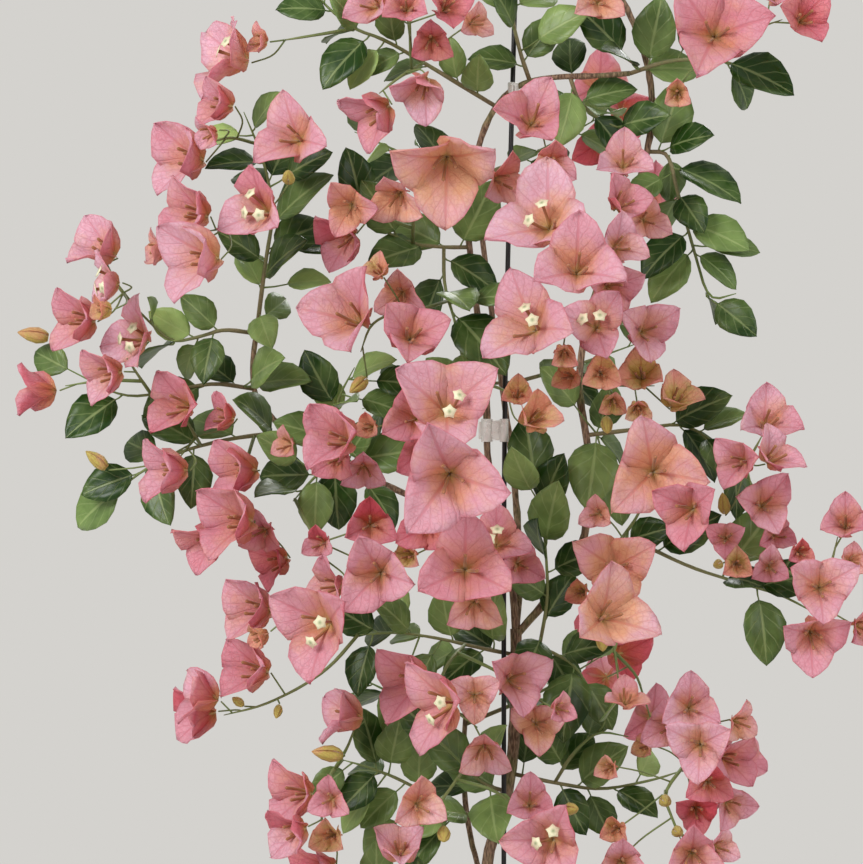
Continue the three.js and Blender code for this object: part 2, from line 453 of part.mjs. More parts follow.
function tube(points, radius, sides) {
  const ring = new THREE.Shape();
  for (let k = 0; k < sides; k += 1) {
    const angle = (2 * Math.PI * k) / sides;
    if (k === 0) ring.moveTo(radius, 0);
    else ring.lineTo(radius * Math.cos(angle), radius * Math.sin(angle));
  }
  ring.closePath();
  const options = {
    steps: points.length - 1,
    bevelEnabled: false,
    extrudePath: new RouteCurve(points),
  };
  return solidOf(new THREE.ExtrudeGeometry(ring, options));
}

// A closed solid from its corners and its triangles
function meshSolid(corners, faces) {
  const geometry = new THREE.BufferGeometry();
  geometry.setAttribute("position", new THREE.Float32BufferAttribute(corners.flatMap((c) => c.toArray()), 3));
  geometry.setIndex(faces.flat());
  return solidOf(geometry);
}

function ringAround(centre, first, second, radius) {
  return [0, 1, 2].map((corner) => {
    const turn = (2 * Math.PI * corner) / 3;
    return centre.clone()
      .addScaledVector(first, radius * Math.cos(turn))
      .addScaledVector(second, radius * Math.sin(turn));
  });
}

// A stem with the seat gap all round and past its end, to cut what stands on it
function sheath(route, radius, sides) {
  const end = route[route.length - 1];
  const last = end.clone().sub(route[route.length - 2]).setLength(SEAT_GAP).add(end);
  return tube([...route.slice(0, -1), last], radius + SEAT_GAP, sides);
}

// Seeded draw between 0 and 1 for the given pair of numbers
function draw(seed, key) {
  const wave = Math.sin(seed * 12.9898 + key * 78.233) * 43758.5453;
  return wave - Math.floor(wave);
}

// Places and routes. What lies in front of the core is carried further out toward the plant's middle.
function place(x, depth, z) {
  const bulge = BULGE * Math.exp(-(((x - BULGE_MIDDLE) / BULGE_WIDTH) ** 2));
  return seenAt(x, depth < CORE_FRONT ? CORE_FRONT + (depth - CORE_FRONT) * (1 + bulge) : depth, z);
}

// A place at its true depth, seen at the given spot
function seenAt(x, y, z) {
  const share = (y - SIGHT.y) / -SIGHT.y;
  return new THREE.Vector3(SIGHT.x + (x - SIGHT.x) * share, y, SIGHT.z + (z - SIGHT.z) * share);
}

function smooth(knots, steps) {
  const points = [];
  for (let k = 0; k < knots.length - 1; k += 1) {
    const before = knots[Math.max(k - 1, 0)];
    const from = knots[k];
    const to = knots[k + 1];
    const after = knots[Math.min(k + 2, knots.length - 1)];
    for (let step = 0; step < steps; step += 1) {
      const t = step / steps;
      const point = new THREE.Vector3();
      for (const axis of ["x", "y", "z"]) {
        const slopeFrom = (to[axis] - before[axis]) / 2;
        const slopeTo = (after[axis] - from[axis]) / 2;
        point[axis] = (2 * t ** 3 - 3 * t ** 2 + 1) * from[axis] + (t ** 3 - 2 * t ** 2 + t) * slopeFrom
          + (3 * t ** 2 - 2 * t ** 3) * to[axis] + (t ** 3 - t ** 2) * slopeTo;
      }
      points.push(point);
    }
  }
  points.push(knots[knots.length - 1].clone());
  return points;
}

// The nearest spot on the routes: its route, and its place along it counted in knots
function nearest(point, routes) {
  let best = null;
  let least = Infinity;
  const line = new THREE.Line3();
  const spot = new THREE.Vector3();
  for (const route of routes) {
    for (let k = 0; k < route.length - 1; k += 1) {
      line.set(route[k], route[k + 1]);
      const share = line.closestPointToPointParameter(point, true);
      const gap = line.at(share, spot).distanceTo(point);
      if (gap < least) {
        least = gap;
        best = { route, at: k + share };
      }
    }
  }
  return best;
}

function spotOn({ route, at }) {
  const low = Math.min(Math.floor(at), route.length - 2);
  return route[low].clone().lerp(route[low + 1], at - low);
}

// The spot that lies the given reach further down the route
function downFrom({ route, at }, reach) {
  let left = reach;
  let knot = Math.ceil(at) - 1;
  let from = spotOn({ route, at });
  while (knot >= 0) {
    const step = route[knot].distanceTo(from);
    if (step >= left) return from.clone().lerp(route[knot], left / step);
    left -= step;
    from = route[knot];
    knot -= 1;
  }
  return from.clone();
}

// Where a leaf or a stalk stands: further down the stem than its nearest spot, clear of the stem's foot
function rootSpot(found, reach) {
  const spot = downFrom(found, reach);
  const foot = found.route[0];
  if (spot.distanceTo(foot) >= FOOT_CLEAR) return spot;
  return found.route[1].clone().sub(foot).setLength(FOOT_CLEAR).add(foot);
}

// Grows the routes of one stem from the routes that it stands on
function grow(rows, parentRoutes, steps) {
  const routes = [];
  rows.forEach((row, k) => {
    const knots = row.map(([x, depth, z]) => place(x, depth, z));
    const carrier = k === 0 ? parentRoutes : routes;
    if (carrier) knots[0] = spotOn(nearest(knots[0], carrier));
    routes.push(smooth(knots, steps));
  });
  return routes;
}

// What is already placed: points with the room that each one needs, and their owner
const taken = [];

function take(owner, points, need, kind) {
  points.forEach((point) => taken.push({ owner, point, need, kind }));
}

// Least room left between the given points and what others own, or the same owner's blades
function roomLeft(owner, points, need) {
  let room = Infinity;
  for (const spot of taken) {
    if (spot.owner === owner && spot.kind !== "blade") continue;
    for (const point of points) {
      const left = spot.point.distanceTo(point) - spot.need - need;
      if (left < room) room = left;
    }
  }
  return room;
}

function alongRoute(route, spacing) {
  const points = [];
  for (let k = 0; k < route.length - 1; k += 1) {
    const parts = Math.max(1, Math.round(route[k].distanceTo(route[k + 1]) / spacing));
    for (let part = 0; part < parts; part += 1) {
      points.push(route[k].clone().lerp(route[k + 1], part / parts));
    }
  }
  points.push(route[route.length - 1]);
  return points;
}

// Blooms: three bracts round a short stalk, opening toward +Z of their own frame
function facing(yaw, pitch) {
  const turn = THREE.MathUtils.degToRad(yaw);
  const lift = THREE.MathUtils.degToRad(pitch);
  const level = Math.cos(lift);
  return new THREE.Vector3(Math.sin(turn) * level, -Math.cos(turn) * level, Math.sin(lift));
}

function bloomFrame(bloom) {
  const ahead = facing(bloom.yaw, bloom.pitch);
  const side = new THREE.Vector3().crossVectors(new THREE.Vector3(0, 0, 1), ahead).normalize();
  const up = new THREE.Vector3().crossVectors(ahead, side);
  const roll = THREE.MathUtils.degToRad(bloom.roll);
  const first = up.clone().multiplyScalar(Math.cos(roll)).addScaledVector(side, Math.sin(roll));
  const second = new THREE.Vector3().crossVectors(ahead, first);
  return { ahead, first, second };
}

function bractLength(bloom) {
  return bloom.span * LENGTH_PER_SPAN[bloom.kind];
}

// Half width of a bract at a share of its length
function halfWidth(share) {
  return 0.43 * Math.sin(Math.PI * share ** 0.85) ** 0.6;
}

// A point of one bract's face, by share of length and of half width: the bract bends outward along its
// length, and its sides are lifted toward the inside
function bractPoint(bloom, bract, share, across) {
  const length = bractLength(bloom);
  const wave = draw(bloom.seed, 10 + bract * 2 + (across > 0 ? 1 : 0)) - 0.5;
  const bend = THREE.MathUtils.degToRad(OPEN_BEND);
  const open = OPEN_ANGLE[bloom.kind] - OPEN_BEND / 2 + 12 * (draw(bloom.seed, bract) - 0.5);
  const start = THREE.MathUtils.degToRad(open);
  const now = start + bend * share;
  const lift = length * across * across * (CUP + 0.12 * wave) * Math.min(1, 1.6 * share);
  const out = (length * (Math.cos(start) - Math.cos(now))) / bend - lift * Math.cos(now);
  const ahead = (length * (Math.sin(now) - Math.sin(start))) / bend + lift * Math.sin(now);
  const turn = THREE.MathUtils.degToRad(120 * bract);
  const wide = across * halfWidth(share) * length;
  return new THREE.Vector3(
    out * Math.cos(turn) - wide * Math.sin(turn),
    out * Math.sin(turn) + wide * Math.cos(turn),
    ahead,
  );
}

function toWorld(local, frame, origin) {
  return origin.clone()
    .addScaledVector(frame.first, local.x)
    .addScaledVector(frame.second, local.y)
    .addScaledVector(frame.ahead, local.z);
}

// Outline of a bloom in its own frame: for each bract a notch, then the shoulders and the tip
function bloomRim(bloom) {
  const slant = THREE.MathUtils.degToRad(OPEN_ANGLE[bloom.kind] - 10);
  const notch = NOTCH_SHARE * bractLength(bloom);
  const corners = bloom.span <= SMALL_BLOOM ? [[1, 0]] : [[SHOULDER_SHARE, -1], [1, 0], [SHOULDER_SHARE, 1]];
  return [0, 1, 2].flatMap((bract) => {
    const turn = THREE.MathUtils.degToRad(120 * bract - 60);
    const between = new THREE.Vector3(
      notch * Math.sin(slant) * Math.cos(turn),
      notch * Math.sin(slant) * Math.sin(turn),
      notch * Math.cos(slant) * 1.1,
    );
    return [between, ...corners.map(([share, across]) => bractPoint(bloom, bract, share, across))];
  });
}

function bloomSamples(bloom) {
  const points = [bloom.base.clone()];
  if (bloom.kind === "b") {
    points.push(bloom.base.clone().addScaledVector(bloom.frame.ahead, bloom.span / 2));
    points.push(bloom.base.clone().addScaledVector(bloom.frame.ahead, bloom.span));
    return points;
  }
  for (let bract = 0; bract < 3; bract += 1) {
    for (const share of [0.3, 0.55, 0.8, 1]) {
      for (const across of [-1, -0.5, 0, 0.5, 1]) {
        points.push(toWorld(bractPoint(bloom, bract, share, across), bloom.frame, bloom.base));
      }
    }
  }
  return points;
}

function makeBloom(row, seed, depth) {
  const [x, z, , span, yaw, pitch, kind, roll] = row;
  const bloom = { span, yaw, pitch, kind, roll, seed };
  bloom.frame = bloomFrame(bloom);
  const share = kind === "b" ? 0.5 : 0.22;
  bloom.base = place(x, depth, z).addScaledVector(bloom.frame.ahead, -share * span);
  return bloom;
}

// The stalk from the spray's stem to the back of the bloom
function stalkKnots(bloom, routes, order) {
  const at = nearest(bloom.base, routes);
  const from = rootSpot(at, 0.2 * spotOn(at).distanceTo(bloom.base) + STALK_SPACING * (order % 4));
  const reach = from.distanceTo(bloom.base);
  const end = bloom.base.clone().addScaledVector(bloom.frame.ahead, -BACK_STEP);
  if (reach < SHORT_STALK) return [from, end];
  const setback = Math.min(8, 0.25 * reach);
  const bend = from.clone().lerp(bloom.base, 0.6).addScaledVector(bloom.frame.ahead, -setback);
  return [from, bend, end];
}

function placeBlooms(name, routes, rows, seed) {
  return rows.map((row, k) => {
    let best = null;
    let most = -Infinity;
    for (const shift of BLOOM_DEPTHS) {
      const bloom = makeBloom(row, seed + k, row[2] + shift);
      bloom.stalk = stalkKnots(bloom, routes, k);
      const stalkPoints = alongRoute(bloom.stalk, 4).slice(2);
      const samples = bloomSamples(bloom);
      const room = Math.min(roomLeft(name, samples, BLADE_NEED), roomLeft(name, stalkPoints, STEM_NEED));
      if (room > most) {
        most = room;
        best = { bloom, samples, stalkPoints };
      }
      if (room >= 0) break;
    }
    take(name, best.samples, BLADE_NEED, "blade");
    take(name, best.stalkPoints, STEM_NEED, "stem");
    return best.bloom;
  });
}

// The rings of the stalk, from the back of the bloom to the middle of the spray's stem
function stalkRings(bloom) {
  const knots = bloom.stalk.toReversed();
  const way = knots[knots.length - 2].clone().sub(knots[knots.length - 1]).normalize();
  const level = knots.length > 2 ? way : way.clone().add(bloom.frame.ahead).normalize();
  const turned = new THREE.Quaternion().setFromUnitVectors(bloom.frame.ahead, level);
  const first = bloom.frame.first.clone().applyQuaternion(turned);
  const second = bloom.frame.second.clone().applyQuaternion(turned);
  return knots.map((knot, k) => {
    const square = k === 0 && knots.length > 2;
    const across = square ? bloom.frame.first : first;
    const along = square ? bloom.frame.second : second;
    return ringAround(knot, across, along, PEDICEL_RADIUS);
  });
}

// Triangles that close the side between two rings of three, the first of them ahead
function sleeve(front, back) {
  return [0, 1, 2].flatMap((corner) => {
    const next = (corner + 1) % 3;
    return [
      [front + corner, back + corner, back + next],
      [front + corner, back + next, front + next],
    ];
  });
}

function budSolid(bloom) {
  const { ahead, first, second } = bloom.frame;
  const belly = bloom.base.clone().addScaledVector(ahead, 0.4 * bloom.span);
  const rings = [ringAround(belly, first, second, 0.25 * bloom.span), ...stalkRings(bloom)];
  const tip = bloom.base.clone().addScaledVector(ahead, bloom.span);
  const faces = rings.slice(1).flatMap((_, k) => sleeve(3 * k, 3 * k + 3));
  const last = 3 * rings.length;
  faces.push([0, 1, last], [1, 2, last], [2, 0, last], [last - 3, last - 1, last - 2]);
  return meshSolid([...rings.flat(), tip], faces);
}

// The bracts as one shell, with the stalk behind and the flower tubes in front
function shellSolid(bloom) {
  const { ahead, first, second } = bloom.frame;
  const rim = bloomRim(bloom).map((corner) => toWorld(corner, bloom.frame, bloom.base));
  const throat = ringAround(bloom.base.clone().addScaledVector(ahead, 1), first, second, 1.6);
  const stalk = stalkRings(bloom);
  const corners = [...rim, ...throat, ...stalk.flat()];
  const throatAt = rim.length;
  const stalkAt = throatAt + 3;
  const perBract = rim.length / 3;
  const faces = [];
  for (let bract = 0; bract < 3; bract += 1) {
    const next = (bract + 1) % 3;
    for (let k = 0; k < perBract; k += 1) {
      const from = bract * perBract + k;
      const to = (from + 1) % rim.length;
      faces.push([throatAt + bract, from, to], [stalkAt + bract, to, from]);
    }
    const notch = next * perBract;
    faces.push([throatAt + bract, notch, throatAt + next], [stalkAt + bract, stalkAt + next, notch]);
  }
  stalk.slice(1).forEach((_, k) => faces.push(...sleeve(stalkAt + 3 * k, stalkAt + 3 * k + 3)));
  const last = corners.length;
  faces.push([last - 3, last - 1, last - 2]);
  const along = bloom.base.clone().addScaledVector(ahead, tubeLength(bloom));
  if (bloom.kind === "s") {
    const heart = corners.length;
    corners.push(bloom.base.clone().addScaledVector(ahead, 2));
    for (let bract = 0; bract < 3; bract += 1) {
      const turn = (2 * Math.PI * (bract + 0.5)) / 3;
      const mouth = along.clone()
        .addScaledVector(first, 0.45 * tubeLength(bloom) * Math.cos(turn))
        .addScaledVector(second, 0.45 * tubeLength(bloom) * Math.sin(turn));
      addFlowerTube(corners, faces, [throatAt + bract, throatAt + ((bract + 1) % 3), heart], mouth);
    }
  } else {
    const mouth = corners.length;
    corners.push(along);
    [0, 1, 2].forEach((k) => faces.push([throatAt + k, throatAt + ((k + 1) % 3), mouth]));
  }
  return meshSolid(corners, faces);
}

// A tube from three corners of the throat to a mouth of the same shape
function addFlowerTube(corners, faces, root, mouth) {
  const at = corners.length;
  const middle = new THREE.Vector3();
  root.forEach((corner) => middle.addScaledVector(corners[corner], 1 / 3));
  root.forEach((corner) => {
    const reach = corners[corner].clone().sub(middle).setLength(FLOWER_TUBE_RADIUS);
    corners.push(mouth.clone().add(reach));
  });
  [0, 1, 2].forEach((k) => {
    const next = (k + 1) % 3;
    faces.push([root[k], root[next], at + next], [root[k], at + next, at + k]);
  });
  faces.push([at, at + 1, at + 2]);
}

function tubeLength(bloom) {
  return 0.4 * bractLength(bloom) + 4;
}

// Leaves: folded along the midrib, broadest near the middle
function makeLeaf(from, along, stalk, length, lean) {
  const root = from.clone().addScaledVector(along, stalk);
  const normal = lean.clone().addScaledVector(along, -lean.dot(along)).normalize();
  const side = new THREE.Vector3().crossVectors(normal, along);
  return { from, root, length, along, normal, side };
}

function leafPoint(leaf, share, across) {
  const wide = across * leafHalfWidth(share) * leaf.length;
  const lift = Math.abs(across) * leafHalfWidth(share) * leaf.length * 0.28;
  const droop = -0.1 * leaf.length * share * share;
  return leaf.root.clone()
    .addScaledVector(leaf.along, share * leaf.length)
    .addScaledVector(leaf.side, wide)
    .addScaledVector(leaf.normal, lift + droop);
}

function leafHalfWidth(share) {
  return 0.36 * Math.sin(Math.PI * share ** 0.85) ** 0.75;
}

function leafSamples(leaf) {
  const points = [leafPoint(leaf, 0, 0), leafPoint(leaf, 1, 0)];
  for (const share of [0.2, 0.45, 0.72]) {
    for (const across of [-1, -0.5, 0, 0.5, 1]) points.push(leafPoint(leaf, share, across));
  }
  return points;
}

// A leaf thins from its midrib to its rim, and narrows to a stalk that stands in the middle of its stem
function leafSolid(leaf) {
  const half = leaf.length < SMALL_LEAF ? [[0.5, -1]] : [[0.38, -1], [0.72, -1]];
  const edge = half.map(([share, across]) => leafPoint(leaf, share, across));
  const other = half.toReversed().map(([share, across]) => leafPoint(leaf, share, -across));
  const tip = leafPoint(leaf, 1, 0);
  const keel = leaf.from.clone().lerp(tip, 0.5).addScaledVector(leaf.normal, -LEAF_THICKNESS);
  const foot = [[-1, 0], [1, 0], [0, -1.3]].map(([across, below]) => leaf.from.clone()
    .addScaledVector(leaf.side, across * TWIG_RADIUS)
    .addScaledVector(leaf.normal, below * TWIG_RADIUS));
  const corners = [foot[0], ...edge, tip, ...other, foot[1], foot[2], keel];
  const middle = edge.length + 1;
  const right = corners.indexOf(foot[1]);
  const below = right + 1;
  const under = right + 2;
  const faces = [[0, right, below], [0, middle, right], [under, 0, below], [under, below, right]];
  for (let k = 1; k < middle; k += 1) faces.push([0, k, k + 1]);
  for (let k = middle; k < right - 1; k += 1) faces.push([right, k, k + 1]);
  for (let k = 0; k < right; k += 1) faces.push([under, k + 1, k]);
  return meshSolid(corners, faces);
}

function leafLean(seed) {
  return new THREE.Vector3(0.9 * (draw(seed, 1) - 0.5), -0.8, 0.5 + 0.7 * (draw(seed, 2) - 0.5));
}

// One marked leaf: its middle is seen at the given place
function markedLeaf(name, routes, row, seed) {
  const [x, z, length] = row;
  const start = spotOn(nearest(place(x, routes[0][0].y, z), routes));
  for (const shift of LEAF_DEPTHS) {
    const middle = seenAt(x, start.y + shift, z);
    const from = rootSpot(nearest(middle, routes), LEAF_SETBACK * length);
    const along = middle.clone().sub(from);
    if (along.length() < 3) along.set(0.4 * (draw(seed, 3) - 0.5), -1, 0.3);
    const reach = along.length();
    along.normalize();
    const blade = length * (1 - LEAF_STALK_SHARE);
    const stalk = Math.max(LEAF_STALK_SHARE * length, reach - 0.5 * blade);
    const leaf = makeLeaf(from, along, stalk, blade, leafLean(seed));
    const stalkPoints = alongRoute([from, leaf.root], 4).slice(2);
    const samples = leafSamples(leaf);
    const room = Math.min(roomLeft(name, samples, BLADE_NEED), roomLeft(name, stalkPoints, STEM_NEED));
    if (room < 0) continue;
    take(name, samples, BLADE_NEED, "blade");
    take(name, stalkPoints, STEM_NEED, "stem");
    return leaf;
  }
  return null;
}

// One leaf by rule: at its share of the stem, turned by the golden angle from the one before
function ruledLeaf(name, route, order, share, seed) {
  const spot = share * (route.length - 1);
  const low = Math.min(Math.floor(spot), route.length - 2);
  const from = route[low].clone().lerp(route[low + 1], spot - low);
  const ahead = route[low + 1].clone().sub(route[low]).normalize();
  const side = new THREE.Vector3().crossVectors(ahead, new THREE.Vector3(0.1, 0.2, 1)).normalize();
  const up = new THREE.Vector3().crossVectors(side, ahead);
  const length = 28 + 18 * draw(seed, 4);
  for (let turn = 0; turn < LEAF_TURNS; turn += 1) {
    const angle = 2.39996 * order + 0.7 * turn;
    const along = side.clone().multiplyScalar(Math.cos(angle))
      .addScaledVector(up, 0.8 * Math.sin(angle))
      .addScaledVector(ahead, 0.5)
      .normalize();
    const lean = new THREE.Vector3(0.6 * (draw(seed, 1) - 0.5), from.y > 15 ? 0.5 : -0.6, 0.8);
    const stalk = LEAF_STALK_SHARE * length;
    const leaf = makeLeaf(from.clone(), along, stalk, length - stalk, lean);
    const samples = leafSamples(leaf);
    if (roomLeft(name, samples, BLADE_NEED) < 0) continue;
    take(name, samples, BLADE_NEED, "blade");
    return leaf;
  }
  return null;
}

function placeLeaves(name, routes, marked, ruled, seed) {
  const leaves = marked.map((row, k) => markedLeaf(name, routes, row, seed + k));
  for (let k = 0; k < ruled; k += 1) {
    const route = routes[k % routes.length];
    const share = 0.22 + (0.74 * (k + 0.5)) / ruled;
    leaves.push(ruledLeaf(name, route, k, share, seed + 40 + k));
  }
  return leaves.filter((leaf) => leaf !== null);
}

// Layout: all stems first, then the blooms, then the leaves between them
const woody = {};
WOODY_STEMS.forEach(([name, radius, row]) => {
  const carrier = name === "trunk" ? null : Object.values(woody).map((stem) => stem.route);
  const [route] = grow([row], carrier, WOODY_STEPS);
  woody[name] = { radius, route };
  take("woody_stems", alongRoute(route, 4), radius + 0.9, "stem");
});

const stakeRoute = smooth(
  STAKE_ROUTE.map(([x, depth, z]) => place(x, depth, z)),
  1,
);
take("stake", alongRoute(stakeRoute, 4), STAKE_RADIUS + 0.9, "stem");

const leafy = {};
LEAFY_STEMS.forEach(([name, parent, rows]) => {
  const routes = grow(rows, [woody[parent].route], LEAFY_STEPS);
  leafy[name] = { routes, cut: sheath(woody[parent].route, woody[parent].radius, WOODY_SIDES) };
  routes.forEach((route) => take(name, alongRoute(route, 4).slice(2), LEAFY_STEM_RADIUS + 0.8, "stem"));
});

const sprays = {};
SPRAYS.forEach(([name, parent, rows]) => {
  const onWood = parent in woody;
  const parentRoutes = onWood ? [woody[parent].route] : leafy[parent].routes;
  const routes = grow(rows, parentRoutes, SPRAY_STEPS);
  const radius = onWood ? woody[parent].radius : LEAFY_STEM_RADIUS;
  const sides = onWood ? WOODY_SIDES : LEAFY_SIDES;
  sprays[name] = { routes, cuts: parentRoutes.map((route) => sheath(route, radius, sides)) };
  routes.forEach((route) => take(name, alongRoute(route, 4).slice(2), SPRAY_STEM_RADIUS + 0.8, "stem"));
});
SPRAYS.forEach(([name, , , rows], k) => {
  sprays[name].blooms = placeBlooms(name, sprays[name].routes, rows, 100 * (k + 1));
});
LEAFY_STEMS.forEach(([name, , , marked, ruled], k) => {
  leafy[name].leaves = placeLeaves(name, leafy[name].routes, marked, ruled, 7000 + 100 * k);
});

// Pieces
function potSolid() {
  const outerAt = (z) => POT_FOOT_RADIUS + ((POT_TOP_RADIUS - POT_FOOT_RADIUS) * z) / POT_HEIGHT;
  const rimFoot = POT_HEIGHT - POT_RIM_HEIGHT;
  const profile = [
    [0, 0],
    [POT_FOOT_RADIUS, 0],
    [outerAt(rimFoot), rimFoot],
    [outerAt(rimFoot) + POT_RIM_REACH, rimFoot + 1],
    [POT_TOP_RADIUS + POT_RIM_REACH, POT_HEIGHT - 3],
    [POT_TOP_RADIUS + POT_RIM_REACH - 3, POT_HEIGHT],
    [POT_TOP_RADIUS - POT_WALL + 3, POT_HEIGHT],
    [POT_TOP_RADIUS - POT_WALL, POT_HEIGHT - 3],
    [POT_FOOT_RADIUS - POT_WALL + 1, POT_WALL + 2],
    [0, POT_WALL + 2],
  ].map(([r, z]) => new THREE.Vector2(r, z));
  const geometry = new THREE.LatheGeometry(profile, POT_SIDES);
  geometry.rotateX(Math.PI / 2);
  return solidOf(geometry);
}

function soilSolid(stems) {
  const floor = POT_WALL + 2 + SEAT_GAP;
  const slope = (POT_TOP_RADIUS - POT_FOOT_RADIUS - 1) / (POT_HEIGHT - 3 - POT_WALL - 2);
  const innerAt = (z) => POT_FOOT_RADIUS - POT_WALL + 1 + slope * (z - POT_WALL - 2) - SEAT_GAP;
  const profile = [
    [0, floor],
    [innerAt(floor) - 0.2, floor],
    [innerAt(SOIL_TOP) - 0.2, SOIL_TOP],
    [innerAt(SOIL_TOP) * 0.6, SOIL_TOP + SOIL_CROWN * 0.6],
    [0, SOIL_TOP + SOIL_CROWN],
  ].map(([r, z]) => new THREE.Vector2(r, z));
  const geometry = new THREE.LatheGeometry(profile, POT_SIDES);
  geometry.rotateX(Math.PI / 2);
  return stems.reduce((soil, stem) => soil.subtract(stem), solidOf(geometry));
}

function clipSolid(around, others, size) {
  const block = new THREE.BoxGeometry(size[0], size[1], size[2]);
  block.translate(around.x, around.y, around.z);
  return largestBody(others.reduce((clip, stem) => clip.subtract(stem), solidOf(block)));
}

const stakeSolid = tube(stakeRoute, STAKE_RADIUS, 8);
const wideStake = sheath(stakeRoute, STAKE_RADIUS, 8);
const woodySolid = fuse(Object.values(woody).map((stem) => tube(stem.route, stem.radius, WOODY_SIDES)));
const wideTrunk = sheath(woody.trunk.route, woody.trunk.radius, WOODY_SIDES);
const wideCentre = sheath(woody.centre.route, woody.centre.radius, WOODY_SIDES);

function leafySolid({ routes, leaves, cut }) {
  const parts = routes.map((route) => tube(route, LEAFY_STEM_RADIUS, LEAFY_SIDES));
  leaves.forEach((leaf) => parts.push(leafSolid(leaf)));
  return largestBody(fuse(parts).subtract(cut));
}

function spraySolid({ routes, blooms, cuts }) {
  const parts = routes.map((route) => tube(route, SPRAY_STEM_RADIUS, SPRAY_SIDES));
  blooms.forEach((bloom) => parts.push(bloom.kind === "b" ? budSolid(bloom) : shellSolid(bloom)));
  return largestBody(cuts.reduce((spray, cut) => spray.subtract(cut), fuse(parts)));
}

const plant = new THREE.Group();

function addPiece(name, solid, material) {
  const mesh = new THREE.Mesh(geometryOf(solid), material);
  mesh.name = name;
  plant.add(mesh);
}

addPiece("pot", potSolid(), CLAY);
addPiece("soil", soilSolid([wideTrunk, wideStake]), SOIL);
addPiece("stake", stakeSolid, STEEL);
addPiece("woody_stems", woodySolid, BARK);
addPiece("clip_low", clipSolid(new THREE.Vector3(-8.5, 1, 571), [wideStake, wideCentre],
  [22, CLIP_WIDTH, LOW_CLIP_HEIGHT]), CLEAR_PLASTIC);
addPiece("clip_high", clipSolid(new THREE.Vector3(2.5, -3.5, 794), [wideStake, wideCentre],
  [CLIP_WIDTH, 18, CLIP_HEIGHT]), CLEAR_PLASTIC);
LEAFY_STEMS.forEach(([name]) => addPiece(name, leafySolid(leafy[name]), LEAF_GREEN));
SPRAYS.forEach(([name]) => addPiece(name, spraySolid(sprays[name]), BRACT_PINK));

export default plant;
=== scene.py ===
"""A potted bougainvillea trained up a thin steel stake, dressed for a soft studio picture.

Places are worked out in millimetres, as they look from the front, and turned to metres as they are built.
"""
import functools
import math

import bmesh
import bpy
import numpy as np
from mathutils import Color, Matrix, Quaternion, Vector, noise


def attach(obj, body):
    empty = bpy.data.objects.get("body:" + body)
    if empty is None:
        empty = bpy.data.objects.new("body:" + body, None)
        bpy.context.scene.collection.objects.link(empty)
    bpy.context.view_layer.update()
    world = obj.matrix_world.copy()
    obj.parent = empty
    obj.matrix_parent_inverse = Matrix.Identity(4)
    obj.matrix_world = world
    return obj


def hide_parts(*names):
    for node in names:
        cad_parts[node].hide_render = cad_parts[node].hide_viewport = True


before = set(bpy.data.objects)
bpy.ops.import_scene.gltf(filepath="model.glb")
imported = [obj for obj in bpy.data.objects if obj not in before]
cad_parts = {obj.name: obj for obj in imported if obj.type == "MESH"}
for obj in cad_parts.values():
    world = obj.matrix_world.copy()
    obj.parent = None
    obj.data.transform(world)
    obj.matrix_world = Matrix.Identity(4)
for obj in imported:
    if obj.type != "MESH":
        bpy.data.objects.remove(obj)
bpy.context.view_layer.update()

bl_info = {
    "name": "Potted bougainvillea",
    "version": (1, 0, 0),
    "blender": (4, 5, 0),
    "location": "View3D > Sidebar > Bougainvillea",
    "description": "Builds a flowering climber in its clay pot, with the stage round it",
    "category": "Object",
}

MM = 0.001

STAKE_ROUTE = [[-3, 0, 24], [-3, 0, 300], [-3, 0, 565], [0, 0, 700], [4, 0, 840], [5.5, 0, 905]]

# Woody stems: name, radius, route of [x, depth, z]
WOODY_STEMS = [
  ["trunk", 3.6,
   [[-2, 9, 60], [-6, 9, 150], [-13, 9, 230], [-15, 9, 290], [-8, 9, 312], [2, 9, 345], [5, 9, 395],
    [5, 9, 442]]],
  ["right", 2.6,
   [[5, 9, 438], [20, 8, 455], [38, 6, 475], [50, 4, 500], [52, 4, 530], [52, 4, 560], [48, 6, 582],
    [45, 8, 604], [52, 10, 650], [72, 10, 700], [90, 10, 745], [95, 8, 790], [84, 6, 832], [68, 4, 862]]],
  ["centre", 2.4,
   [[5, 9, 436], [3, 11, 470], [-4, 9, 506], [-12, 3, 540], [-14, 2, 558], [-14, 2, 584], [-15, 4, 610],
    [-22, 8, 660], [-28, 8, 715], [-19, 2, 760], [-8, -5, 783], [6, -7, 796], [29, -8, 801], [50, -10, 801],
    [79, -10, 803]]],
  ["left", 2.2,
   [[-4, 9, 506], [-50, 4, 522], [-100, 0, 545], [-145, -4, 570], [-165, -6, 592], [-167, -6, 612],
    [-163, -8, 640]]],
  ["back", 2.3,
   [[5, 9, 440], [8, 22, 480], [4, 36, 540], [-4, 44, 600], [-14, 48, 670], [-23, 45, 748]]],
  ["low_back", 2.0,
   [[-14, 9, 270], [-25, 24, 305], [-30, 38, 345], [-28, 44, 385]]],
]

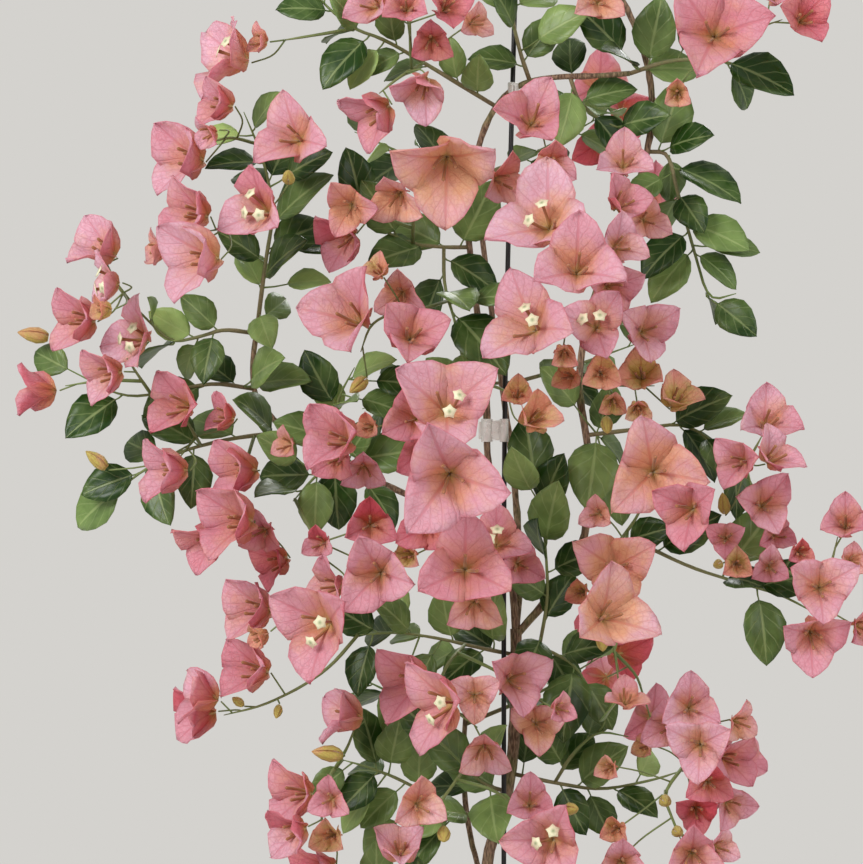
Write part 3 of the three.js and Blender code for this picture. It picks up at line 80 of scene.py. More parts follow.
# Leafy stems: name, woody stem, routes, marked leaves of [x, z, length], leaves placed by rule
LEAFY_STEMS = [
  ["leafy_stem_upper_left", "centre",
   [[[-9, -5, 782], [-50, -16, 807], [-80, -22, 825], [-101, -24, 832], [-120, -26, 848],
    [-134, -26, 866]]],
   [[-108, 810, 46], [-95, 806, 34], [-80, 811, 30], [-102, 838, 34], [-130, 845, 36], [-65, 805, 32],
    [-75, 832, 34], [-35, 808, 30], [-118, 862, 34], [-20, 800, 34]], 1],
  ["leafy_stem_arch_end", "centre",
   [[[79, -10, 803], [105, -16, 812], [135, -20, 812], [152, -22, 808]]],
   [[155, 805, 52], [95, 830, 46], [60, 832, 44], [72, 815, 40], [120, 832, 36], [98, 806, 42],
    [152, 792, 40]], 1],
  ["leafy_stem_arch_middle", "centre",
   [[[40, -9, 801], [45, -2, 785], [60, 6, 772], [80, 8, 765]]],
   [[40, 785, 42], [65, 790, 38], [60, 770, 38], [84, 772, 40], [40, 816, 38]], 1],
  ["leafy_stem_top_right", "right",
   [[[92, 10, 752], [104, 4, 752], [110, 0, 725], [120, -4, 690], [130, -6, 655], [148, -8, 660]]],
   [[105, 775, 48], [118, 760, 40], [125, 735, 52], [105, 740, 34], [88, 728, 32], [115, 718, 36],
    [132, 700, 46], [148, 690, 36], [100, 685, 44], [130, 680, 36], [145, 646, 38], [107, 674, 44]], 2],
  ["leafy_stem_crown", "centre",
   [[[14, -7, 798], [8, -12, 815], [2, -14, 840], [6, -14, 868], [14, -12, 895]]],
   [[-10, 812, 36], [0, 840, 38], [35, 835, 42], [18, 822, 36], [20, 852, 38], [40, 878, 40]], 6],
  ["leafy_stem_left_top", "left",
   [[[-163, -8, 640], [-158, -10, 680], [-152, -12, 715], [-160, -14, 750], [-172, -22, 778]]],
   [[-180, 745, 38], [-160, 776, 34], [-188, 762, 30], [-150, 745, 44], [-130, 745, 38], [-138, 720, 52],
    [-140, 697, 44], [-175, 692, 36], [-150, 680, 48], [-165, 672, 36], [-130, 668, 32], [-121, 690, 40],
    [-141, 679, 42], [-159, 638, 34]], 1],
  ["leafy_stem_left_side", "left",
   [[[-164, -8, 634], [-185, -14, 637], [-200, -18, 632], [-218, -22, 628], [-232, -26, 640],
    [-246, -28, 655]]],
   [[-200, 647, 34], [-214, 637, 34], [-195, 620, 36], [-208, 615, 32], [-232, 650, 26], [-150, 652, 32],
    [-140, 642, 30]], 1],
  ["leafy_stem_left_middle", "left",
   [[[-166, -6, 598], [-190, -12, 602], [-215, -18, 598], [-245, -22, 592], [-268, -26, 600]]],
   [[-185, 607, 38], [-207, 596, 46], [-267, 583, 46], [-298, 617, 36], [-158, 612, 44], [-146, 604, 42],
    [-146, 605, 40]], 1],
  ["leafy_stem_left_low", "left",
   [[[-145, -4, 570], [-180, -10, 566], [-212, -16, 558], [-238, -20, 545], [-256, -22, 530]]],
   [[-160, 578, 46], [-215, 570, 46], [-240, 560, 38], [-190, 573, 42], [-205, 540, 40], [-250, 540, 40],
    [-268, 521, 50], [-226, 526, 40]], 1],
  ["leafy_stem_centre_left", "left",
   [[[-100, 0, 545], [-112, -8, 565], [-112, -14, 590], [-100, -18, 612]], [[-108, -5, 556],
    [-125, -14, 542], [-140, -18, 525]]],
   [[-122, 603, 42], [-115, 588, 34], [-90, 612, 36], [-70, 602, 36], [-80, 587, 36], [-136, 572, 38],
    [-98, 563, 34], [-75, 556, 46], [-125, 530, 38], [-150, 560, 36], [-152, 532, 38], [-112, 528, 46],
    [-82, 522, 38], [-145, 542, 44], [-149, 520, 40]], 1],
  ["leafy_stem_centre_top", "centre",
   [[[-26, 8, 690], [-42, 0, 690], [-62, -8, 692], [-84, -14, 702], [-102, -16, 716]], [[-42, 0, 690],
    [-42, -8, 665], [-34, -14, 640], [-30, -16, 615]]],
   [[-100, 737, 40], [-78, 707, 46], [-65, 688, 46], [-36, 680, 42], [-25, 703, 52], [-50, 655, 52],
    [-26, 637, 58], [-18, 672, 36], [-8, 658, 34], [-28, 612, 36], [-34, 658, 44], [-52, 696, 42]], 1],
  ["leafy_stem_right_middle", "right",
   [[[51, 4, 568], [85, 0, 572], [115, -6, 576], [138, -12, 560], [152, -16, 545]]],
   [[120, 583, 46], [132, 560, 40], [147, 540, 38], [62, 583, 38], [33, 600, 38], [55, 548, 54],
    [68, 558, 38], [70, 530, 48], [117, 567, 44]], 1],
  ["leafy_stem_right_low", "right",
   [[[50, 4, 500], [85, -2, 498], [118, -8, 482], [150, -14, 472], [178, -18, 464], [200, -20, 452]]],
   [[115, 504, 48], [86, 502, 36], [160, 504, 50], [172, 472, 42], [150, 474, 38], [166, 440, 48]], 1],
  ["leafy_stem_low_centre", "trunk",
   [[[5, 9, 425], [-20, 0, 430], [-45, -8, 436], [-72, -14, 440], [-98, -18, 438]]],
   [[-10, 452, 50], [-25, 422, 38], [-46, 422, 38], [-40, 449, 38], [-70, 446, 38], [-76, 462, 36],
    [-94, 445, 38], [-95, 415, 38], [-74, 392, 40], [-58, 410, 40], [-85, 440, 36], [-20, 436, 40]], 1],
  ["leafy_stem_low_right_of_centre", "trunk",
   [[[5, 9, 434], [22, 3, 430], [42, -3, 420], [54, -8, 402]], [[20, 3, 431], [26, -4, 462], [24, -10, 498],
    [20, -12, 530]]],
   [[15, 470, 38], [28, 455, 38], [20, 434, 40], [46, 428, 40], [40, 402, 52], [60, 392, 38], [45, 488, 38],
    [26, 507, 48], [27, 535, 40], [14, 560, 48], [8, 545, 38], [-8, 527, 36], [21, 497, 42],
    [32, 418, 38]], 1],
  ["leafy_stem_low_left", "trunk",
   [[[-8, 9, 312], [-40, 0, 328], [-72, -10, 345], [-90, -14, 352], [-108, -18, 357]]],
   [[-58, 354, 38], [-90, 370, 42], [-74, 368, 40], [-96, 338, 36], [-100, 322, 34], [-85, 325, 38],
    [-84, 306, 36], [-118, 342, 30], [-50, 318, 40], [-56, 298, 38], [-32, 322, 36]], 1],
  ["leafy_stem_low_right", "trunk",
   [[[3, 9, 348], [30, 2, 342], [60, -6, 337], [95, -12, 344], [113, -16, 350]], [[30, 2, 342],
    [42, -6, 362], [58, -10, 376], [78, -14, 372]]],
   [[56, 350, 46], [40, 328, 38], [78, 333, 36], [60, 320, 36], [28, 366, 44], [12, 368, 38], [56, 385, 38],
    [68, 392, 36], [90, 356, 32], [39, 355, 38]], 1],
  ["leafy_stem_low_front", "trunk",
   [[[0, 9, 336], [-14, 2, 340], [-22, -10, 346], [-28, -20, 352]]],
   [[-34, 358, 46], [-14, 343, 46], [-10, 320, 48], [-40, 340, 38], [-60, 384, 40]], 1],
  ["leafy_stem_below", "trunk",
   [[[-14, 9, 240], [-40, 0, 250], [-68, -8, 260], [-92, -14, 272]], [[-36, 1, 249], [-18, -16, 256],
    [18, -18, 262], [50, -16, 274]]],
   [[-60, 276, 42], [30, 284, 42]], 7],
  ["leafy_stem_back_top", "back",
   [[[-22, 44, 735], [20, 58, 752], [60, 62, 775]], [[-14, 47, 738], [-55, 58, 745], [-100, 54, 765]]],
   [], 11],
  ["leafy_stem_back_middle", "back",
   [[[-4, 44, 600], [40, 60, 612], [85, 60, 628]], [[4, 48, 602], [-50, 64, 600], [-95, 58, 585]]],
   [], 9],
  ["leafy_stem_back_low", "low_back",
   [[[-28, 43, 380], [20, 56, 400], [60, 58, 424]], [[-20, 46, 384], [-65, 56, 395], [-100, 52, 412]]],
   [], 9],
]

# Sprays of blooms: name, stem, routes, blooms of [x, z, depth, span, yaw, pitch, kind, roll].
# Yaw turns from the shown side to the right, pitch upward. Kinds: m, p and d are open blooms,
# s an open one with its true flowers out, c a half-open one, y a young one, b a bud.
SPRAYS = [
  ["blooms_upper_left_tip", "leafy_stem_upper_left",
   [[[-101, -24, 832], [-125, -28, 828], [-150, -30, 824]]],
   [[-181, 814, -30, 60, -65, 12, "s", 60], [-161, 824, -38, 22, -60, 0, "p", 0]]],
  ["blooms_upper_left", "leafy_stem_upper_left",
   [[[-55, -17, 810], [-72, -28, 800], [-84, -30, 790]], [[-63, -22, 806], [-64, -30, 826],
    [-64, -30, 845]]],
   [[-84, 778, -38, 42, -55, -30, "c", 80], [-55, 795, -42, 38, -15, -45, "c", 60],
    [-88, 848, -36, 36, -30, 10, "m", 0], [-66, 846, -46, 34, 0, 10, "d", 0],
    [-40, 846, -40, 36, 20, 10, "d", 60], [-50, 824, -34, 32, 0, -25, "d", 0],
    [-22, 836, -34, 25, 30, 0, "p", 0]]],
  ["blooms_left_top", "leafy_stem_left_top",
   [[[-163, -16, 757], [-180, -30, 762], [-195, -34, 758]]],
   [[-185, 783, -38, 32, -50, 5, "c", 100], [-194, 764, -48, 24, -60, -20, "m", 0],
    [-140, 762, -44, 50, -25, 10, "m", 350], [-207, 748, -42, 49, -50, 8, "c", 80]]],
  ["blooms_left_upper", "leafy_stem_left_top",
   [[[-155, -12, 706], [-175, -26, 704], [-198, -32, 700]]],
   [[-163, 715, -48, 50, -40, 10, "s", 0], [-203, 712, -40, 43, -50, 8, "c", 100],
    [-198, 683, -44, 54, -48, 0, "c", 70], [-228, 688, -40, 26, -75, 0, "p", 0],
    [-143, 736, -56, 15, 0, 20, "b", 0]]],
  ["blooms_far_left_top", "leafy_stem_left_side",
   [[[-246, -28, 655], [-256, -34, 668], [-262, -36, 682]]],
   [[-262, 689, -38, 42, -50, 30, "c", 80], [-261, 667, -46, 38, -70, 0, "s", 0],
    [-276, 643, -38, 42, -45, 5, "c", 95], [-262, 650, -56, 20, -60, 0, "y", 0],
    [-309, 633, -34, 20, -80, 10, "b", 0]]],
  ["blooms_far_left", "leafy_stem_left_middle",
   [[[-232, -21, 594], [-240, -32, 606], [-248, -34, 618]], [[-238, -29, 603], [-262, -32, 604],
    [-288, -30, 600]]],
   [[-243, 631, -46, 49, -45, 5, "s", 20], [-258, 608, -42, 37, -48, -8, "c", 85],
    [-302, 597, -30, 38, -85, 0, "c", 30]]],
  ["blooms_left_middle", "leafy_stem_left_low",
   [[[-200, -14, 562], [-206, -28, 572], [-212, -32, 582]], [[-203, -21, 567], [-215, -30, 552]]],
   [[-214, 587, -40, 46, -45, 5, "m", 90], [-184, 580, -42, 30, -60, 10, "d", 100],
    [-217, 545, -46, 42, -58, 0, "c", 90], [-268, 552, -34, 17, -80, 40, "b", 0]]],
  ["blooms_left_low", "leafy_stem_left_low",
   [[[-165, -7, 567], [-172, -24, 545], [-178, -32, 525], [-178, -34, 508]]],
   [[-171, 545, -38, 42, -50, 0, "c", 80], [-175, 512, -46, 50, -45, 5, "c", 70],
    [-195, 500, -40, 38, -50, -25, "c", 80], [-160, 505, -50, 32, -20, -10, "d", 0],
    [-150, 486, -42, 38, -50, -10, "d", 60]]],
  ["blooms_centre_left_low", "leafy_stem_centre_left",
   [[[-138, -18, 526], [-128, -30, 505], [-115, -34, 482], [-125, -36, 462]]],
   [[-122, 498, -44, 24, -30, 0, "d", 0], [-90, 510, -40, 36, 0, 5, "d", 0],
    [-115, 470, -44, 36, -50, 0, "m", 0], [-85, 478, -52, 52, -10, 0, "m", 100],
    [-124, 444, -56, 62, -35, -5, "s", 180], [-162, 455, -40, 44, -48, 10, "c", 75],
    [-160, 438, -46, 20, -60, -20, "y", 0]]],
  ["blooms_low_left_out", "leafy_stem_low_centre",
   [[[-98, -18, 438], [-115, -26, 418], [-135, -28, 404], [-160, -30, 392], [-185, -30, 386]]],
   [[-164, 415, -34, 44, -52, 10, "c", 85], [-196, 398, -38, 38, -65, 20, "c", 60],
    [-198, 387, -28, 40, -60, -5, "c", 100], [-176, 395, -36, 11, -40, 30, "b", 0],
    [-150, 388, -32, 11, -10, -40, "b", 0]]],
  ["blooms_low_left", "leafy_stem_low_left",
   [[[-108, -18, 357], [-118, -28, 345], [-122, -30, 325], [-120, -32, 305]], [[-113, -23, 351],
    [-104, -28, 366], [-100, -28, 378]]],
   [[-103, 385, -34, 40, -70, 15, "c", 50], [-118, 361, -42, 20, -70, 10, "b", 0],
    [-135, 335, -40, 42, -48, 5, "c", 85], [-116, 331, -50, 28, -15, 0, "m", 0],
    [-138, 311, -42, 36, -50, -10, "c", 95], [-115, 308, -54, 28, -20, 0, "y", 0],
    [-120, 285, -42, 42, -45, -10, "c", 80]]],
  ["blooms_low_front", "leafy_stem_low_front",
   [[[-28, -20, 352], [-38, -30, 338], [-50, -34, 322], [-60, -36, 308]], [[-33, -26, 345], [-10, -36, 338],
    [8, -36, 325], [20, -38, 314]]],
   [[-58, 328, -46, 36, 15, 5, "p", 0], [-70, 298, -44, 34, 0, 40, "c", 60],
    [-42, 308, -44, 16, 0, -20, "b", 0], [14, 329, -44, 34, 0, 25, "m", 0],
    [26, 304, -52, 52, -20, 0, "s", 30], [41, 325, -44, 15, 30, 10, "b", 0]]],
  ["blooms_top_centre", "leafy_stem_centre_top",
   [[[-62, -8, 692], [-62, -24, 710], [-55, -32, 722], [-30, -32, 732]], [[-61, -18, 704], [-84, -28, 710],
    [-98, -32, 708]]],
   [[-41, 742, -52, 69, -5, -35, "p", 180], [-73, 722, -38, 38, -25, -35, "p", 0],
    [-4, 733, -36, 36, 40, -15, "p", 0], [-103, 716, -42, 36, -10, -20, "p", 90],
    [-105, 696, -46, 38, -40, -20, "c", 90]]],
  ["blooms_arch", "centre",
   [[[14, -7, 799], [18, -22, 787], [24, -26, 768]]],
   [[15, 774, -36, 50, 0, 20, "m", 30], [28, 745, -38, 32, 10, -20, "p", 0]]],
  ["blooms_right_top", "right",
   [[[74, 10, 706], [77, -10, 715], [76, -24, 726]]],
   [[75, 746, -34, 38, 0, 25, "m", 0], [74, 719, -44, 36, 30, 25, "m", 330],
    [89, 708, -34, 32, 10, 0, "p", 0], [72, 691, -52, 36, 20, 10, "m", 0]]],
  ["blooms_centre_top", "right",
   [[[60, 10, 672], [52, -10, 682], [40, -26, 695], [28, -32, 705]]],
   [[23, 709, -54, 66, -20, 25, "s", 0], [45, 678, -62, 58, 0, 20, "m", 0],
    [67, 664, -46, 40, 20, -10, "m", 60]]],
  ["blooms_centre_upper", "right",
   [[[51, 9, 643], [45, -14, 642], [32, -28, 640]], [[46, -8, 642], [65, -26, 641], [82, -30, 640]]],
   [[12, 640, -54, 62, -30, 15, "s", 100], [56, 640, -60, 44, -10, 15, "s", 40],
    [89, 636, -44, 42, 15, 5, "m", 60], [36, 622, -62, 22, 0, -30, "y", 0]]],
  ["blooms_young_right", "right",
   [[[45, 8, 604], [56, -12, 602], [74, -24, 600], [95, -28, 600]]],
   [[40, 606, -40, 22, -30, 0, "y", 0], [60, 608, -46, 28, 0, 0, "y", 0],
    [86, 607, -48, 34, -10, 20, "y", 0], [68, 590, -36, 20, 0, -30, "y", 0],
    [84, 586, -44, 20, 0, -30, "y", 0], [108, 591, -38, 34, 20, 40, "y", 0],
    [64, 574, -44, 15, 0, -40, "b", 0]]],
  ["blooms_centre_middle_left", "leafy_stem_centre_top",
   [[[-40, -11, 655], [-55, -26, 650], [-75, -34, 648], [-90, -36, 640], [-96, -36, 622]]],
   [[-103, 645, -48, 62, -35, 20, "m", 30], [-84, 674, -44, 22, -30, 30, "y", 0],
    [-70, 659, -44, 34, -10, -20, "p", 0], [-63, 632, -54, 42, 10, 15, "c", 75],
    [-98, 600, -40, 17, -40, -30, "b", 0]]],
  ["blooms_centre", "centre",
   [[[-15, 4, 605], [-28, -18, 598], [-40, -28, 590], [-54, -32, 574]], [[-20, -5, 602], [-4, -26, 598],
    [8, -30, 590]]],
   [[-40, 588, -56, 66, 0, 25, "s", 180], [-61, 579, -62, 42, -10, 5, "d", 0],
    [-57, 556, -48, 36, -5, -20, "d", 0], [-90, 573, -48, 20, -30, 0, "y", 0],
    [6, 594, -42, 24, 0, 20, "y", 0], [16, 578, -48, 36, 30, 25, "y", 0]]],
  ["blooms_left_inner", "leafy_stem_centre_left",
   [[[-112, -10, 572], [-118, -26, 568], [-122, -32, 560]]],
   [[-109, 565, -46, 46, -35, 10, "c", 85], [-112, 552, -52, 32, -25, -10, "d", 0],
    [-94, 546, -42, 30, 0, -20, "m", 0], [-144, 562, -44, 22, -45, 0, "p", 0]]],
  ["blooms_centre_low", "centre",
   [[[-9, 5, 530], [-22, -16, 526], [-32, -28, 520], [-36, -34, 505], [-34, -38, 485]], [[-19, -11, 527],
    [-8, -28, 512], [0, -32, 495]]],
   [[-38, 540, -56, 70, 0, -10, "m", 100], [-7, 500, -46, 40, 5, 30, "s", 0],
    [-54, 508, -46, 38, -20, 0, "d", 0], [7, 484, -44, 34, 10, 0, "m", 0],
    [-28, 482, -62, 60, 0, 10, "m", 0], [-22, 457, -50, 36, 0, -20, "p", 0],
    [-64, 490, -46, 22, -30, 0, "y", 0]]],
  ["blooms_low_centre", "leafy_stem_low_centre",
   [[[-28, -3, 432], [-38, -22, 422], [-45, -32, 408], [-40, -36, 392], [-20, -38, 378]], [[-34, -15, 426],
    [-10, -32, 416], [8, -34, 405], [16, -36, 392]]],
   [[-62, 408, -44, 46, -42, 0, "c", 80], [-45, 393, -56, 56, -50, 0, "s", 200],
    [-22, 399, -48, 33, 0, 5, "p", 60], [4, 409, -48, 47, 25, 5, "m", 60],
    [-16, 362, -44, 36, 0, -30, "p", 0], [19, 380, -50, 36, 10, 0, "p", 60],
    [33, 390, -42, 22, 30, 0, "m", 0]]],
  ["blooms_right_centre", "leafy_stem_right_low",
   [[[72, 0, 499], [84, -18, 515], [92, -28, 535]], [[77, -9, 506], [76, -26, 490], [74, -32, 465],
    [66, -32, 440], [72, -32, 414]]],
   [[95, 545, -44, 64, 0, 5, "p", 105], [117, 520, -66, 46, -25, 0, "m", 60],
    [58, 517, -42, 24, -20, 0, "p", 0], [70, 482, -46, 54, 0, 5, "p", 60],
    [66, 452, -54, 58, 25, 20, "p", 0], [48, 466, -42, 22, -30, 0, "y", 0],
    [61, 433, -42, 15, 0, -40, "b", 0], [76, 397, -40, 29, 0, 50, "p", 0]]],
  ["blooms_right_upper", "leafy_stem_right_middle",
   [[[152, -16, 545], [158, -26, 555], [165, -30, 568]]],
   [[168, 577, -38, 44, 10, 30, "m", 0], [172, 554, -44, 36, 30, 30, "m", 0],
    [151, 551, -46, 33, -35, 0, "c", 80], [166, 523, -42, 41, 5, 10, "m", 40],
    [140, 524, -38, 15, -20, 60, "b", 0]]],
  ["blooms_far_right", "leafy_stem_right_low",
   [[[200, -20, 452], [204, -28, 466], [210, -32, 485], [214, -32, 502]], [[202, -25, 460], [188, -32, 476],
    [170, -34, 486], [150, -34, 492]]],
   [[174, 503, -42, 27, 10, 10, "m", 0], [141, 501, -42, 26, -10, 5, "m", 60],
    [148, 484, -50, 24, 0, 0, "y", 0], [170, 482, -48, 26, 0, 0, "m", 0],
    [189, 492, -42, 20, 10, 0, "d", 0], [136, 484, -40, 12, -20, 0, "b", 0],
    [219, 510, -38, 33, -10, 25, "c", 0], [223, 486, -38, 24, 10, 0, "p", 0],
    [203, 469, -46, 47, 0, 5, "m", 60], [197, 437, -46, 48, 0, -15, "m", 60],
    [229, 443, -38, 30, 30, -10, "m", 0]]],
  ["blooms_top_right", "leafy_stem_arch_end",
   [[[135, -20, 812], [140, -34, 822], [160, -38, 832], [178, -38, 838]], [[136, -25, 815], [118, -36, 805],
    [112, -38, 797]]],
   [[134, 830, -52, 67, -5, 5, "m", 80], [192, 839, -44, 40, 15, 10, "d", 40],
    [172, 854, -42, 28, 10, 20, "m", 0], [110, 790, -42, 22, -10, -20, "y", 0]]],
  ["blooms_low_right", "leafy_stem_low_right",
   [[[113, -16, 350], [120, -28, 365], [120, -34, 385], [116, -36, 400]], [[116, -22, 356], [132, -32, 350],
    [142, -34, 340]], [[115, -20, 354], [100, -30, 335], [108, -34, 315], [112, -34, 305]]],
   [[118, 391, -46, 42, 0, 10, "m", 0], [124, 366, -54, 42, -10, 0, "m", 60],
    [105, 379, -60, 36, -20, 0, "m", 0], [150, 381, -44, 28, 40, -10, "p", 0],
    [90, 366, -40, 20, -40, 0, "y", 0], [66, 352, -38, 20, -30, 0, "y", 0],
    [143, 358, -46, 36, 35, 0, "c", 270], [154, 357, -38, 30, 40, 0, "m", 0],
    [130, 342, -54, 32, 0, 0, "d", 0], [144, 328, -42, 32, 20, -10, "m", 90],
    [122, 324, -46, 32, 0, -10, "d", 60], [120, 294, -48, 42, 0, -10, "m", 0],
    [137, 300, -40, 26, 30, 0, "m", 0], [70, 312, -38, 22, -20, 0, "y", 0],
    [102, 330, -42, 15, 0, 0, "b", 0], [110, 310, -40, 14, 0, 0, "b", 0],
    [74, 289, -42, 38, 0, -10, "m", 0]]],
  ["blooms_crown", "leafy_stem_crown",
   [[[14, -12, 895], [16, -20, 905]], [[15, -17, 901], [34, -24, 884], [52, -26, 864]]],
   [[12, 916, -22, 48, 0, 30, "m", 0], [38, 898, -32, 42, 20, 10, "m", 60],
    [-14, 893, -26, 40, -30, 0, "d", 0], [58, 850, -34, 34, 0, 0, "p", 0]]],
  ["blooms_below", "leafy_stem_below",
   [[[-92, -14, 272], [-98, -24, 266]], [[-96, -20, 269], [-78, -28, 256]]],
   [[-98, 250, -32, 42, -30, -10, "m", 60], [-68, 244, -40, 40, -10, -10, "m", 0],
    [-118, 262, -30, 34, -60, 0, "d", 0]]],
  ["blooms_back_top", "leafy_stem_back_top",
   [[[60, 62, 775], [68, 72, 785]], [[65, 68, 781], [84, 78, 760], [86, 80, 740]]],
   [[60, 796, 82, 46, 170, 20, "m", 0], [76, 778, 84, 42, 150, 0, "m", 60],
    [60, 758, 90, 40, 190, -10, "d", 0], [94, 728, 82, 44, 165, -10, "m", 0]]],
  ["blooms_back_low", "leafy_stem_back_low",
   [[[60, 58, 424], [70, 70, 434]], [[66, 65, 430], [84, 74, 412], [88, 76, 396]]],
   [[60, 444, 80, 46, 170, 20, "m", 0], [74, 426, 82, 42, 150, 0, "d", 60],
    [62, 410, 88, 40, 190, -10, "m", 0], [94, 384, 80, 44, 165, -10, "m", 0]]],
]


# Sizes of the plant's layout, in millimetres
POT_HEIGHT = 190
POT_TOP_RADIUS = 110
POT_FOOT_RADIUS = 76
POT_WALL = 8
POT_RIM_HEIGHT = 30
POT_RIM_REACH = 5
SOIL_TOP = 170
SOIL_CROWN = 6
STAKE_RADIUS = 1.6
SEAT_GAP = 0.3
LEAFY_STEM_RADIUS = 1.5
SPRAY_STEM_RADIUS = 1.35
BACK_STEP = 1.8

# The eye that sees each place, and the bulge of the crown toward it
SIGHT = np.array((-50.0, -1700.0, 570.0))
CORE_FRONT = -12
BULGE = 1.1
BULGE_MIDDLE = -30
BULGE_WIDTH = 150

# How blooms open, by kind and as shares of a bract's length, with angles in degrees
OPEN_ANGLE = {"m": 50, "p": 54, "d": 47, "s": 56, "c": 43, "y": 40}
OPEN_BEND = 38
OPEN_SWAY = 12
BRACTS = 3
BRACT_TURN = 120
BRACT_HALF_WIDTH = 0.43
CUP = 0.1
CUP_SWAY = 0.12
BUD_SETBACK = 0.5
BLOOM_SETBACK = 0.22
TUBE_PER_BRACT = 0.4
TUBE_LEAST = 4
LENGTH_PER_SPAN = {"m": 0.7, "p": 0.68, "d": 0.7, "s": 0.68, "c": 0.8, "y": 0.74, "b": 0.7}

# How stalks and leaves stand on their stems
SHORT_STALK = 28
STALK_SPACING = 3
LEAF_SETBACK = 0.25
LEAF_STALK_SHARE = 0.12
LEAF_HALF_WIDTH = 0.36
RULED_LENGTH = 28
RULED_SPREAD = 18
RULED_START = 0.22
RULED_REACH = 0.74
RULED_SEED = 40
LEAF_FOLD = 0.28
LEAF_DROOP = 0.1
WIDE_SHIFT = 0.85
FOOT_CLEAR = 7
GOLDEN_TURN = 2.39996

# The room that blades and stems keep from what is already there
BLADE_NEED = 2.8
STEM_NEED = 1.3
WIDEST_NEED = 6.0
MOST_SPOTS = 40000
BLOOM_DEPTHS = [0, -5, 5, -10, 10, -15, 15, -20, 20, -26, 26, -32, 32, -40, 40]
LEAF_DEPTHS = [-6, 0, -12, 6, -18, 12, -24, 18, -32, 26]
LEAF_TURNS = 9
LEAF_TURN_STEP = 0.7
CHECK_SPACING = 4
WOOD_ROOM = 0.9
STEM_ROOM = 0.8
ACROSS = (-1, -0.5, 0, 0.5, 1)

# Seeds of the draws: one step for each spray or stem, and where those of the leaves begin
SEED_STEP = 100
LEAF_SEED = 7000


# Layout

def vec(x, y, z):
    return np.array((x, y, z), dtype=float)


def unit(v):
    return v / np.linalg.norm(v)


def draw(seed, key):
    """A seeded draw between 0 and 1 for a pair of numbers."""
    wave = math.sin(seed * 12.9898 + key * 78.233) * 43758.5453
    return wave - math.floor(wave)


def seen_at(x, y, z):
    """A place at its true depth, seen at the given spot."""
    share = (y - SIGHT[1]) / -SIGHT[1]
    return vec(SIGHT[0] + (x - SIGHT[0]) * share, y, SIGHT[2] + (z - SIGHT[2]) * share)


def place(x, depth, z):
    """A place by its depth, carried further out where it is in front of the core, most in the middle."""
    bulge = BULGE * math.exp(-(((x - BULGE_MIDDLE) / BULGE_WIDTH) ** 2))
    if depth < CORE_FRONT:
        depth = CORE_FRONT + (depth - CORE_FRONT) * (1 + bulge)
    return seen_at(x, depth, z)


def nearest(point, routes):
    """The nearest spot on the routes: the route, and its place along it counted in knots."""
    best, least = None, math.inf
    for route in routes:
        for k in range(len(route) - 1):
            along = route[k + 1] - route[k]
            share = min(1.0, max(0.0, float(np.dot(point - route[k], along) / np.dot(along, along))))
            gap = np.linalg.norm(route[k] + along * share - point)
            if gap < least:
                least, best = gap, (route, k + share)
    return best


def spot_on(found):
    route, at = found
    low = min(math.floor(at), len(route) - 2)
    return route[low] + (route[low + 1] - route[low]) * (at - low)


def down_from(found, reach):
    """The spot that lies the given reach further down the route."""
    route, at = found
    left = reach
    knot = math.ceil(at) - 1
    spot = spot_on(found)
    while knot >= 0:
        step = np.linalg.norm(route[knot] - spot)
        if step >= left:
            return spot + (route[knot] - spot) * (left / step)
        left -= step
        spot = route[knot]
        knot -= 1
    return spot.copy()


def root_spot(found, reach):
    """Where a leaf or a stalk stands: down the stem from its nearest spot, clear of the stem's foot."""
    spot = down_from(found, reach)
    route = found[0]
    if np.linalg.norm(spot - route[0]) >= FOOT_CLEAR:
        return spot
    return route[0] + unit(route[1] - route[0]) * FOOT_CLEAR


def grow(rows, parent_routes):
    """The routes of one stem, from the routes that it stands on."""
    routes = []
    for k, row in enumerate(rows):
        knots = [place(*knot) for knot in row]
        carrier = parent_routes if k == 0 else routes
        if carrier:
            knots[0] = spot_on(nearest(knots[0], carrier))
        routes.append(knots)
    return routes


def along_route(route, spacing):
    points = []
    for start, end in zip(route, route[1:]):
        parts = max(1, math.floor(np.linalg.norm(end - start) / spacing + 0.5))
        points += [start + (end - start) * (part / parts) for part in range(parts)]
    return points + [route[-1]]


class Room:
    """What is already placed: points, the room that each needs, whose it is, and if it is a blade."""

    def __init__(self):
        self.spots = np.zeros((MOST_SPOTS, 3))
        self.needs = np.zeros(MOST_SPOTS)
        self.owners = np.zeros(MOST_SPOTS, dtype=int)
        self.blades = np.zeros(MOST_SPOTS, dtype=bool)
        self.names = {}
        self.count = 0

    def take(self, owner, points, need, is_blade):
        for point in points:
            self.spots[self.count] = point
            self.needs[self.count] = need
            self.owners[self.count] = self.names.setdefault(owner, len(self.names))
            self.blades[self.count] = is_blade
            self.count += 1

    def left(self, owner, points, need):
        """The least room between the points and what others own, or the same owner's blades."""
        if not points:
            return math.inf
        points = np.array(points)
        spots = self.spots[:self.count]
        reach = need + WIDEST_NEED
        low, high = points.min(axis=0) - reach, points.max(axis=0) + reach
        near = np.all((spots > low) & (spots < high), axis=1)
        near &= (self.owners[:self.count] != self.names.get(owner, -1)) | self.blades[:self.count]
        if not near.any():
            return math.inf
        gaps = np.linalg.norm(spots[near][:, None, :] - points[None, :, :], axis=2)
        return float((gaps - self.needs[:self.count][near][:, None] - need).min())


